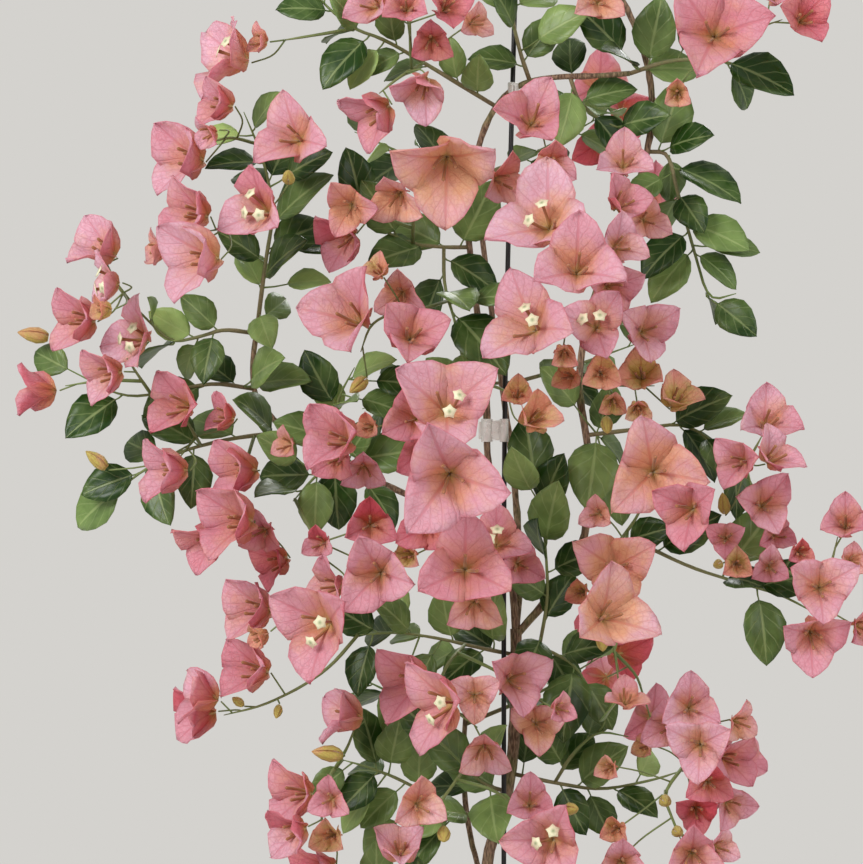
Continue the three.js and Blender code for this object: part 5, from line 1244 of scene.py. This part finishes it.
class Piece:
    """One piece in the making: its mesh, and the layers that its finishes read."""

    def __init__(self):
        self.mesh = bmesh.new()
        self.age = self.mesh.verts.layers.float.new("age")
        self.tone = self.mesh.verts.layers.float.new("tone")
        self.mesh.loops.layers.uv.new("blade")

    def settle(self, slot=0, age=1.0, tone=0.5):
        """Gives what was added last its material slot, age and tone. What is settled has an age above 0."""
        fresh = [vertex for vertex in self.mesh.verts if vertex[self.age] == 0.0]
        faces = faces_of(fresh)
        bmesh.ops.recalc_face_normals(self.mesh, faces=faces)
        for face in faces:
            face.material_index = slot
            face.smooth = True
        for vertex in fresh:
            vertex[self.age] = max(age, 0.01)
            vertex[self.tone] = tone(vertex) if callable(tone) else tone

    def tube(self, points, radii, sides, slot=0, age=1.0, tone=0.5):
        """A round stem along the points, closed at both ends."""
        ways = [points[min(k + 1, len(points) - 1)] - points[max(k - 1, 0)] for k in range(len(points))]
        turn = turn_toward(ways[0])
        stations = []
        before = Vector(ways[0]).normalized()
        for point, way, radius in zip(points, ways, radii):
            way = Vector(way).normalized()
            turn = before.rotation_difference(way) @ turn
            before = way
            stations.append(Matrix.Translation(metres(point)) @ turn.to_matrix().to_4x4()
                            @ Matrix.Scale(radius * MM, 4))
        ring = bmesh.ops.create_circle(
            self.mesh, cap_ends=True, segments=sides, radius=1.0, matrix=stations[0])
        edges = edges_of(ring["verts"])
        for here, there in zip(stations, stations[1:]):
            grown = bmesh.ops.extrude_edge_only(self.mesh, edges=edges)["geom"]
            verts = {item for item in grown if isinstance(item, bmesh.types.BMVert)}
            edges = [item for item in grown if isinstance(item, bmesh.types.BMEdge)
                     and item.verts[0] in verts and item.verts[1] in verts]
            bmesh.ops.transform(self.mesh, matrix=there @ here.inverted(), verts=list(verts))
        bmesh.ops.contextual_create(self.mesh, geom=edges)
        self.settle(slot, age, tone)

    def blade(self, cells_along, thickness, point, age, tone):
        """A thin closed blade: a grid laid on a surface, its ends drawn together, then made thick."""
        grid = bmesh.ops.create_grid(
            self.mesh, x_segments=BLADE_CELLS_ACROSS, y_segments=cells_along, size=0.5, calc_uvs=True)
        for vertex in grid["verts"]:
            share = vertex.co.y + 0.5
            share -= END_GATHER * math.sin(2 * math.pi * share)
            vertex.co = metres(point(share, 2 * vertex.co.x))
        bmesh.ops.remove_doubles(self.mesh, verts=grid["verts"], dist=JOIN_REACH)
        kept = [vertex for vertex in grid["verts"] if vertex.is_valid]
        bmesh.ops.solidify(self.mesh, geom=faces_of(kept), thickness=thickness)
        self.settle(BLADE_SLOT, age, tone)

    def finish(self, name, node, slot, finishes):
        """Turns the mesh into an object that rides on the part in place of its node."""
        data = bpy.data.meshes.new(name)
        self.mesh.to_mesh(data)
        self.mesh.free()
        for finish in finishes:
            data.materials.append(finish)
        made = bpy.data.objects.new(name, data)
        bpy.context.scene.collection.objects.link(made)
        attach(made, "root")
        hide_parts(node)


# Leaves and blooms

# Radii of the stems, from foot to tip, in millimetres
SPRAY_STEM = (1.2, 0.7)
FIRST_LEAFY_STEM = (1.45, 0.7)
OTHER_LEAFY_STEM = (1.2, 0.7)
STEM_TIP = 0.3
JOINT_SWELL = 1.08

# How old and how pale each kind of bloom is, and how far its flower tubes stand apart in degrees
BLOOM_AGE = {"m": 1.0, "s": 1.0, "c": 1.0, "p": 0.66, "d": 0.9, "y": 0.34, "b": 0.24}
# The low tone of the d kind is partly a deeper pink of its own and partly painted shade, for blooms that
# sit in shadow
BLOOM_TONE = {"m": 0.62, "s": 0.68, "c": 0.66, "p": 0.74, "d": 0.36, "y": 0.4, "b": 0.7}
TUBE_SPLAY = {"m": 17, "p": 17, "d": 14, "s": 22, "c": 11, "y": 9}
GREEN_BUD_SPAN = 16.5
# Tone added to a bract's inward face as painted light, and taken from its outward face as painted shade
INSIDE_PAINTED_LIGHT = 0.08
OUTSIDE_PAINTED_SHADE = -0.34
UNDERSIDE_TONE = 0.06

# A leaf shorter than this, in millimetres, is young and paler
YOUNG_LEAF = 30
YOUNG_TONE = 0.32
OLD_TONE = 0.04

# The finer form of leaves and bracts, as shares of their length
LEAF_WAVE = 0.02
RIM_WAVE = 0.046
RIM_RAG = 0.07
TIP_NARROWING = 0.3
MIDRIB_GROOVE = 0.03
TIP_CURL = 0.36
SIDE_FOLD = 0.13
TIP_SWAY = 0.05

# Where a flower tube swells and narrows, and the form of its open star
TUBE_BOW = 0.05
TUBE_SHARES = (0.0, 0.2, 0.45, 0.78, 0.95, 1.0)
OPEN_TUBE = (0.7, 1.3, 1.0, 1.15, 1.5, 0.9)
CLOSED_TUBE = (0.7, 1.3, 1.0, 1.15, 1.3, 0.4)
STAR_POINTS = 10
STAR_INNER = 0.7
STAR_DEPTH = 0.12
STAR_THICKNESS = 0.0004


def two_faced(tone, toward, above, below):
    """The tone of a blade's vertices, by whether their faces look the given way or the other."""
    toward = Vector(toward)

    def shade(vertex):
        facing = sum((face.normal for face in vertex.link_faces), Vector()).dot(toward)
        return held(tone + (above if facing > 0 else below))

    return shade


def add_leaf(piece, leaf, sizes):
    """One leaf: a thin stalk, and a folded blade with a lightly waved rim."""
    length = leaf.length
    middle = (leaf.foot + leaf.root) / 2 - leaf.normal * 0.02 * length
    radius = sizes.petiole_radius / MM
    piece.tube([leaf.foot, middle, leaf.root + leaf.along * 0.6], [radius * 1.2, radius, radius * 0.8],
               STEM_SIDES["stalk"], STEM_SLOT, 0.12, 0.0)
    phase = 2 * math.pi * draw(leaf.seed, 21)
    curl = 0.05 + 0.08 * draw(leaf.seed, 22)

    def point(share, across):
        wave = LEAF_WAVE * math.sin(3 * math.pi * share + phase + across) * across * across
        droop = curl * share * share * (share - 0.6)
        return leaf.point(share, across) + leaf.normal * length * (wave - droop)

    base_tone = YOUNG_TONE if length < YOUNG_LEAF else OLD_TONE
    tone = base_tone + 0.8 * draw(leaf.seed, 23) ** 2.8 * min(1.0, YOUNG_LEAF / length)
    piece.blade(sizes.leaf_cells, sizes.leaf_thickness, point, 1.0,
                two_faced(tone, leaf.normal, 0.0, UNDERSIDE_TONE))


def add_bud(piece, bloom, sizes, age, tone):
    """A bud: three small bracts that lie closed round the flower tubes, greener on the smallest."""
    age -= 0.1 if bloom.span < GREEN_BUD_SPAN else 0.0
    for bract in range(BRACTS):
        turn = math.radians(BRACT_TURN * bract)

        def point(share, across, turn=turn):
            bulge = math.sin(math.pi * min(1.0, share * 0.93 + 0.07) ** 0.8) ** 0.85
            out = bloom.span * (0.02 + 0.27 * bulge) * (1 - 0.12 * abs(across))
            angle = turn + across * 0.98
            return bloom.world((out * math.cos(angle), out * math.sin(angle), bloom.span * share))

        piece.blade(BUD_CELLS, sizes.bract_thickness, point, age, tone)


def add_bract(piece, bloom, bract, sizes, age, tone):
    """One bract: a sunk midrib, a waved rim and a drawn-out tip, and painted shade that makes its outside a
    deeper pink.
    """
    phase = 2 * math.pi * draw(bloom.seed, 31 + bract)
    length = bloom.bract_length
    sway = TIP_SWAY * length * (draw(bloom.seed, 34 + bract) - 0.5)
    fold = SIDE_FOLD * draw(bloom.seed, 58 + bract)
    curled = TIP_CURL * (draw(bloom.seed, 37 + bract) - 0.2)
    inward = bloom.ahead * 0.8 - bloom.outward(math.radians(BRACT_TURN * bract)) * 0.6

    def point(share, across):
        arch = math.sin(math.pi * share)
        wide = 1 - TIP_NARROWING * (max(0.0, share - 0.7) / 0.3) ** 2
        wide *= 1 + RIM_RAG * share * math.sin(4.6 * math.pi * share + 2 * phase + 1.5 * across)
        wave = math.sin(2.4 * math.pi * share + phase + 1.1 * across)
        wave += 0.6 * math.sin(5.3 * math.pi * share + 3 * phase)
        lift = RIM_WAVE * wave * across * across * min(1.0, 2 * share)
        lift += fold * abs(across) * arch
        lift -= MIDRIB_GROOVE * (1 - abs(across)) ** 2 * arch
        lift -= curled * max(0.0, share - 0.6) ** 2
        face = bloom.world(bloom.bract_local(bract, share, across * wide))
        return face + inward * length * lift + bloom.second * sway * share * share

    # The outward face gets painted shade, a deeper pink, and the inward face a little painted light
    piece.blade(sizes.bract_cells, sizes.bract_thickness, point, age,
                two_faced(tone, inward, INSIDE_PAINTED_LIGHT, OUTSIDE_PAINTED_SHADE))


def add_flower(piece, bloom, number, open_star, sizes):
    """A flower tube before its bract, swollen at its foot, and open in a star or still closed."""
    radial = bloom.outward(math.radians(BRACT_TURN * number + 30 * (draw(bloom.seed, 40 + number) - 0.5)))
    splay = math.radians(TUBE_SPLAY[bloom.kind] * (0.8 + 0.5 * draw(bloom.seed, 41 + number)))
    way = bloom.ahead * math.cos(splay) + radial * math.sin(splay)
    length = bloom.tube_length * (0.86 + 0.22 * draw(bloom.seed, 44 + number))
    thick = min(0.95, 0.45 + bloom.bract_length / 75)
    foot = bloom.base + bloom.ahead * 0.8 + radial * 0.9
    bow = radial * TUBE_BOW * length
    points = [foot + way * length * share + bow * math.sin(math.pi * share) for share in TUBE_SHARES]
    radii = [radius * thick for radius in (OPEN_TUBE if open_star else CLOSED_TUBE)]
    start = metres(foot)
    piece.tube(points, radii, STEM_SIDES["tube"], TUBE_SLOT, 1.0,
               lambda vertex: held((vertex.co - start).length / (length * MM)))
    if open_star:
        add_star(piece, points[-1], way, sizes.star_radius)


def add_star(piece, mouth, way, radius):
    """The star of a true flower: a ring of points, every other one drawn in, cupped a little."""
    mesh = piece.mesh
    disc = bmesh.ops.create_circle(mesh, cap_ends=True, segments=STAR_POINTS, radius=radius)["verts"]
    heart = bmesh.ops.poke(mesh, faces=faces_of(disc))["verts"]
    bmesh.ops.scale(mesh, vec=Vector((STAR_INNER, STAR_INNER, 1.0)), verts=disc[1::2])
    bmesh.ops.translate(mesh, vec=Vector((0, 0, STAR_DEPTH * radius)), verts=heart)
    star = disc + heart
    centre = metres(mouth)
    bmesh.ops.transform(mesh, matrix=Matrix.Translation(centre) @ turn_toward(way).to_matrix().to_4x4(),
                        verts=star)
    bmesh.ops.solidify(mesh, geom=faces_of(star), thickness=STAR_THICKNESS)
    piece.settle(STAR_SLOT, 1.0, lambda vertex: (vertex.co - centre).length / radius)


def add_bloom(piece, bloom, sizes):
    """One bloom on its stalk, with its own age and tone."""
    stalk = soften(bloom.stalk)
    radius = sizes.stalk_radius / MM
    piece.tube(stalk, even_radii(stalk, radius * 1.15, radius), STEM_SIDES["stalk"], STEM_SLOT, 0.2, 0.0)
    age = BLOOM_AGE[bloom.kind] * (0.9 + 0.1 * draw(bloom.seed, 51))
    tone = held(BLOOM_TONE[bloom.kind] + 0.35 * (draw(bloom.seed, 52) - 0.5))
    if bloom.kind == "b":
        add_bud(piece, bloom, sizes, age, tone)
        return
    for bract in range(BRACTS):
        own = held(tone + 0.2 * (draw(bloom.seed, 53 + bract) - 0.5))
        add_bract(piece, bloom, bract, sizes, age, own)
    stars = 2 + (draw(bloom.seed, 57) > 0.4) if bloom.kind == "s" else 0
    for number in range(BRACTS):
        add_flower(piece, bloom, number, number < stars, sizes)


def stem_radii(points, start, end):
    """Radii that narrow toward a stem's tip, with a slight swelling at every third point."""
    radii = even_radii(points, start, end)
    radii = [radius * (JOINT_SWELL if k % 3 == 1 else 1.0) for k, radius in enumerate(radii)]
    return radii[:-1] + [STEM_TIP]


def build_spray(name, parts, sizes):
    """One spray: its thin stems, then its blooms."""
    piece = Piece()
    for order, route in enumerate(parts["routes"]):
        points = soften(route)
        piece.tube(points, stem_radii(points, *SPRAY_STEM), STEM_SIDES["spray"], STEM_SLOT,
                   0.3 if order else 0.45, 0.2)
    for bloom in parts["blooms"]:
        add_bloom(piece, bloom, sizes)
    finishes = [stem_finish(), bract_finish(), tube_finish(), star_finish()]
    piece.finish(name.replace("blooms", "bracts"), name, "bract", finishes)


def build_leafy_stem(name, parts, sizes):
    """One green side stem, greener toward its tip, with its leaves."""
    piece = Piece()
    for order, route in enumerate(parts["routes"]):
        points = soften(route)
        foot = metres(points[0])
        reach = (metres(points[-1]) - foot).length
        radii = stem_radii(points, *(OTHER_LEAFY_STEM if order else FIRST_LEAFY_STEM))
        piece.tube(points, radii, STEM_SIDES["leafy"], STEM_SLOT, 0.6 if order else 0.8,
                   lambda vertex: held((vertex.co - foot).length / reach))
    for leaf in parts["leaves"]:
        add_leaf(piece, leaf, sizes)
    piece.finish(name.replace("leafy_stem", "leaves"), name, "leaf", [stem_finish(), leaf_finish()])


# Pot, soil, stake, clips and wood

POT_FLOOR = POT_WALL + 2
POT_STEPS = 72
POT_ROUNDING = 1.4
SOIL_STEPS = 60
CRUMB_HEIGHT = 2.6
CHIPS = 190
PEARLS = 46
WOOD_SPACING = 7
BARK_HEIGHT = 0.35
WOOD_TAPER = 0.28
TRUNK_SWELL = 1.04
KNOT_SWELL = 0.16

# Clips: height on the stake, way of the finger tabs, how tall
CLIPS = {"clip_low": (571, vec(0, 1, 0), 15.0), "clip_high": (794, vec(1, 0, 0), 6.5)}
STAKE_COLLAR = (STAKE_RADIUS + 0.35, STAKE_RADIUS + 1.25)
STEM_COLLAR = (2.75, 3.7)
COLLAR_STEPS = 20
COLLAR_ROUNDING = 0.25
WEB_THICKNESS = 1.8
TAB_REACH = 4.2
TAB_SIZE = (2.4, 0.8)


def pot_outside(height):
    """Radius of the outside of the pot's wall at a height."""
    return POT_FOOT_RADIUS + (POT_TOP_RADIUS - POT_FOOT_RADIUS) * height / POT_HEIGHT


def build_pot():
    """The pot, turned from one profile, with its edges rounded."""
    rim_foot = POT_HEIGHT - POT_RIM_HEIGHT
    rim = POT_TOP_RADIUS + POT_RIM_REACH
    inside = POT_TOP_RADIUS - POT_WALL
    profile = [
        (0, 0), (POT_FOOT_RADIUS, 0),
        *((pot_outside(height), height) for height in (30, 75, 120, rim_foot)),
        (pot_outside(rim_foot) + POT_RIM_REACH, rim_foot + 1), (rim - 0.4, POT_HEIGHT - 16),
        (rim, POT_HEIGHT - 4), (rim - 4, POT_HEIGHT), (inside + 4, POT_HEIGHT), (inside, POT_HEIGHT - 4),
        (POT_FOOT_RADIUS - POT_WALL + 1, POT_FLOOR), (0, POT_FLOOR),
    ]
    piece = Piece()
    spin_round(piece.mesh, profile, POT_STEPS)
    bmesh.ops.recalc_face_normals(piece.mesh, faces=piece.mesh.faces[:])
    round_edges(piece.mesh, piece.mesh.edges, POT_ROUNDING * MM, 3, 30)
    piece.settle()
    piece.finish("clay_pot", "pot", "clay", [clay_finish()])


def soil_edge(height):
    """Radius of the soil at a height, a hair inside the pot's wall."""
    slope = (POT_TOP_RADIUS - POT_FOOT_RADIUS - 1) / (POT_HEIGHT - 3 - POT_FLOOR)
    return POT_FOOT_RADIUS - POT_WALL + 0.5 + slope * (height - POT_FLOOR) - SEAT_GAP


def soil_level(radius):
    """Height of the soil's top, which rises a little toward the middle."""
    return SOIL_TOP + SOIL_CROWN * math.cos(0.5 * math.pi * min(1.0, radius / soil_edge(SOIL_TOP)))


def add_grain(piece, k):
    """A bark chip, or past the last chip a bead of perlite, pressed into the soil by its own draws."""
    pearl = k >= CHIPS
    radius = (soil_edge(SOIL_TOP) - 6) * math.sqrt(draw(k, 61))
    turn = 2 * math.pi * draw(k, 62)
    size = (1.3 + 1.2 * draw(k, 63)) if pearl else (2.2 + 3.6 * draw(k, 63) ** 2)
    stretch = (1, 1, 1) if pearl else (1.7, 1.0 - 0.35 * draw(k, 64), 0.45)
    tilt = Quaternion([draw(k, key) - 0.5 for key in (65, 66, 67, 68)]).normalized()
    spot = vec(radius * math.cos(turn), radius * math.sin(turn), soil_level(radius) + 0.15 * size)
    matrix = (Matrix.Translation(metres(spot)) @ tilt.to_matrix().to_4x4()
              @ Matrix.Diagonal((*(size * MM * part for part in stretch), 1.0)))
    grain = bmesh.ops.create_icosphere(piece.mesh, subdivisions=1, radius=1.0, matrix=matrix)
    roughen(grain["verts"], 900.0, 0.25 * size * MM)
    piece.settle(tone=1.0 if pearl else 0.15 + 0.5 * draw(k, 69))


def build_soil():
    """The filled soil, roughened on top, with bark chips and perlite pressed into it."""
    piece = Piece()
    floor = POT_FLOOR + SEAT_GAP
    edge = soil_edge(SOIL_TOP)
    profile = [(0, floor), *((soil_edge(height), height) for height in (floor, 80, SOIL_TOP - 6)),
               (edge - 0.3, SOIL_TOP)]
    for share in (0.94, 0.86, 0.76, 0.66, 0.55, 0.44, 0.32, 0.2, 0.1, 0.0):
        profile.append((edge * share, soil_level(edge * share)))
    spin_round(piece.mesh, profile, SOIL_STEPS)
    bmesh.ops.recalc_face_normals(piece.mesh, faces=piece.mesh.faces[:])
    top = [vertex for vertex in piece.mesh.verts if vertex.co.z > (SOIL_TOP - 1) * MM]
    roughen(top, 60.0, CRUMB_HEIGHT * MM, lambda co: held(1 - (math.hypot(co.x, co.y) / (edge * MM)) ** 6))
    piece.settle(tone=0.0)
    for k in range(CHIPS + PEARLS):
        add_grain(piece, k)
    piece.finish("crumbly_soil", "soil", "soil", [soil_finish()])


def build_stake():
    """The stake, a little drawn in at its top end."""
    points = soften(plan()["stake"], share=0.25)
    piece = Piece()
    piece.tube(points, [STAKE_RADIUS] * (len(points) - 1) + [0.8 * STAKE_RADIUS], STEM_SIDES["stake"])
    piece.finish("steel_stake", "stake", "stake", [steel_finish()])


def build_wood():
    """The twining stems: tapered, swollen in knots along them, and cracked."""
    piece = Piece()
    for name, stem in plan()["woody"].items():
        points = along_route(soften(stem["route"], share=0.25), WOOD_SPACING)
        radii = []
        for k in range(len(points)):
            knot = 1.0 + KNOT_SWELL * max(0.0, math.sin(0.9 * k + 5 * draw(len(name), 71))) ** 6
            taper = TRUNK_SWELL if name == "trunk" else 1.0 - WOOD_TAPER * k / len(points)
            radii.append(stem["radius"] * knot * taper)
        piece.tube(points, radii, STEM_SIDES["wood"])
    roughen(piece.mesh.verts, 420.0, BARK_HEIGHT * MM)
    piece.finish("twining_wood", "woody_stems", "bark", [bark_finish()])


def clip_ring(piece, centre, radii, tall):
    """A collar round a stem: a ring with its own wall."""
    mesh = piece.mesh
    inner, outer = radii
    half = tall / 2
    profile = [(inner, -half), (outer, -half), (outer, half), (inner, half)]
    older = set(mesh.verts)
    spin_round(mesh, profile, COLLAR_STEPS, closed=True)
    round_edges(mesh, edges_of(newer(mesh, older)), COLLAR_ROUNDING * MM, 2, 40)
    bmesh.ops.translate(mesh, vec=metres(centre), verts=newer(mesh, older))
    piece.settle()


def clip_plate(piece, centre, way, length, thick, tall):
    """An upright plate along the given way, for the web and the finger tabs of a clip."""
    sides = (length, thick, tall) if abs(way[0]) > abs(way[1]) else (thick, length, tall)
    matrix = Matrix.Translation(metres(centre)) @ Matrix.Diagonal((*(side * MM for side in sides), 1.0))
    block = bmesh.ops.create_cube(piece.mesh, size=1.0, matrix=matrix)
    round_edges(piece.mesh, edges_of(block["verts"]), 0.2 * min(sides) * MM, 2)
    piece.settle()


def build_clip(name, height, tab_way, tall):
    """A clip: a collar round the stake, one round the stem, a web between them and two finger tabs."""
    stake = spot_on(nearest(vec(0, 0, height), [plan()["stake"]]))
    stem = spot_on(nearest(stake, [plan()["woody"]["centre"]["route"]]))
    between = unit(stem - stake)
    piece = Piece()
    clip_ring(piece, stake, STAKE_COLLAR, tall)
    clip_ring(piece, stem, STEM_COLLAR, tall)
    gap = float(np.linalg.norm(stem - stake)) - STAKE_COLLAR[1] - STEM_COLLAR[1]
    middle = stake + between * (STAKE_COLLAR[1] + gap / 2)
    clip_plate(piece, middle, between, gap + 0.9, WEB_THICKNESS, tall * 0.86)
    for side in (-1, 1):
        tip = stem + between * TAB_REACH + tab_way * side * 1.1
        clip_plate(piece, tip, between, *TAB_SIZE, tall * 0.75)
    piece.finish(name.replace("clip", "stem_clip"), name, "clip", [clip_finish()])


# Stage

AMBIENT = 0.88
FLOOR_RADIUS = 1.4
SENSOR_WIDTH = 36.0
LIGHT_AIM = Vector((-0.03, 0.0, 0.6))

# Lights: place and size
LIGHTS = {
    "key": ((-1.5, -1.7, 1.7), 1.3),
    "fill": ((1.5, -1.3, 1.1), 1.4),
    "rear": ((0.4, 1.6, 1.8), 1.2),
}


def show(name, data):
    """A new object in the scene that holds the given data."""
    made = bpy.data.objects.new(name, data)
    bpy.context.scene.collection.objects.link(made)
    return made


def make_floor():
    mesh = bmesh.new()
    bmesh.ops.create_circle(mesh, cap_ends=True, segments=64, radius=FLOOR_RADIUS)
    data = bpy.data.meshes.new("floor")
    mesh.to_mesh(data)
    mesh.free()
    data.materials.append(floor_finish())
    floor = show("floor", data)


def make_surround(settings):
    """A pale surround: as bright as it looks to the camera, and a little dimmer as light."""
    world = bpy.data.worlds.new("pale_room")
    world.use_nodes = True
    tree = world.node_tree
    backdrop = tree.nodes["Background"]
    backdrop.inputs["Color"].default_value = (*settings.backdrop, 1.0)
    softer = tree.nodes.new("ShaderNodeMix")
    tree.links.new(tree.nodes.new("ShaderNodeLightPath").outputs["Is Camera Ray"], softer.inputs[0])
    softer.inputs[2].default_value = AMBIENT
    softer.inputs[3].default_value = 1.0
    tree.links.new(softer.outputs[0], backdrop.inputs["Strength"])
    bpy.context.scene.world = world
    bpy.context.scene.view_settings.view_transform = "Standard"


def make_light(name, spot, size, power):
    lamp = bpy.data.lights.new(name, "AREA")
    lamp.shape = "DISK"
    lamp.size = size
    lamp.energy = power
    made = show(name, lamp)
    made.location = spot
    made.rotation_euler = (LIGHT_AIM - Vector(spot)).to_track_quat("-Z", "Y").to_euler()


def make_camera(settings):
    data = bpy.data.cameras.new("camera")
    data.sensor_width = SENSOR_WIDTH
    data.lens = settings.lens
    camera = show("camera", data)
    camera.location = tuple(SIGHT * MM)
    camera.rotation_euler = (math.radians(90), 0, 0)
    bpy.context.scene.camera = camera


def build_stage(settings):
    make_floor()
    make_surround(settings)
    for name, (spot, size) in LIGHTS.items():
        make_light(name, spot, size, getattr(settings, name + "_power"))
    make_camera(settings)


# The add-on

class MakePot(bpy.types.Operator):
    """Make the clay pot and the soil in it"""
    bl_idname = "bougainvillea.make_pot"
    bl_label = "Pot and soil"

    def execute(self, context):
        build_pot()
        build_soil()
        return {"FINISHED"}


class MakeSupport(bpy.types.Operator):
    """Make the steel stake and the clips that hold the stems to it"""
    bl_idname = "bougainvillea.make_support"
    bl_label = "Stake and clips"

    def execute(self, context):
        build_stake()
        for name, (height, tab_way, tall) in CLIPS.items():
            build_clip(name, height, tab_way, tall)
        return {"FINISHED"}


class MakeWood(bpy.types.Operator):
    """Make the woody stems that twine round the stake"""
    bl_idname = "bougainvillea.make_wood"
    bl_label = "Woody stems"

    def execute(self, context):
        build_wood()
        return {"FINISHED"}


class MakeLeafyStems(bpy.types.Operator):
    """Make the green side stems with their leaves"""
    bl_idname = "bougainvillea.make_leafy_stems"
    bl_label = "Leafy stems"

    def execute(self, context):
        for name, parts in plan()["leafy"].items():
            build_leafy_stem(name, parts, context.scene.foliage_sizes)
        return {"FINISHED"}


class MakeSprays(bpy.types.Operator):
    """Make the sprays of bracts, flower tubes and flowers"""
    bl_idname = "bougainvillea.make_sprays"
    bl_label = "Sprays of bracts"

    def execute(self, context):
        for name, parts in plan()["sprays"].items():
            build_spray(name, parts, context.scene.foliage_sizes)
        return {"FINISHED"}


class MakeStage(bpy.types.Operator):
    """Make the floor, the lights and the camera"""
    bl_idname = "bougainvillea.make_stage"
    bl_label = "Floor, lights and camera"

    def execute(self, context):
        build_stage(context.scene.stage_settings)
        return {"FINISHED"}


OPERATORS = (MakePot, MakeSupport, MakeWood, MakeLeafyStems, MakeSprays, MakeStage)
GROUPS = {
    "foliage_sizes": FoliageSizes,
    "plant_colours": PlantColours,
    "pot_colours": PotColours,
    "stage_settings": StageSettings,
}


class BougainvilleaPanel(bpy.types.Panel):
    """Sizes, colours and the steps of the build"""
    bl_idname = "VIEW3D_PT_bougainvillea"
    bl_label = "Potted bougainvillea"
    bl_space_type = "VIEW_3D"
    bl_region_type = "UI"
    bl_category = "Bougainvillea"

    def draw(self, context):
        for name, group in GROUPS.items():
            box = self.layout.box()
            settings = getattr(context.scene, name)
            for key in group.__annotations__:
                box.prop(settings, key)
        for step in OPERATORS:
            self.layout.operator(step.bl_idname)


CLASSES = (*GROUPS.values(), *OPERATORS, BougainvilleaPanel)


def register():
    for each in CLASSES:
        bpy.utils.register_class(each)
    for name, group in GROUPS.items():
        setattr(bpy.types.Scene, name, bpy.props.PointerProperty(type=group))


def unregister():
    for name in GROUPS:
        delattr(bpy.types.Scene, name)
    for each in reversed(CLASSES):
        bpy.utils.unregister_class(each)


def main():
    register()
    bpy.ops.bougainvillea.make_pot()
    bpy.ops.bougainvillea.make_support()
    bpy.ops.bougainvillea.make_wood()
    bpy.ops.bougainvillea.make_leafy_stems()
    bpy.ops.bougainvillea.make_sprays()
    bpy.ops.bougainvillea.make_stage()


if __name__ == "__main__":
    main()
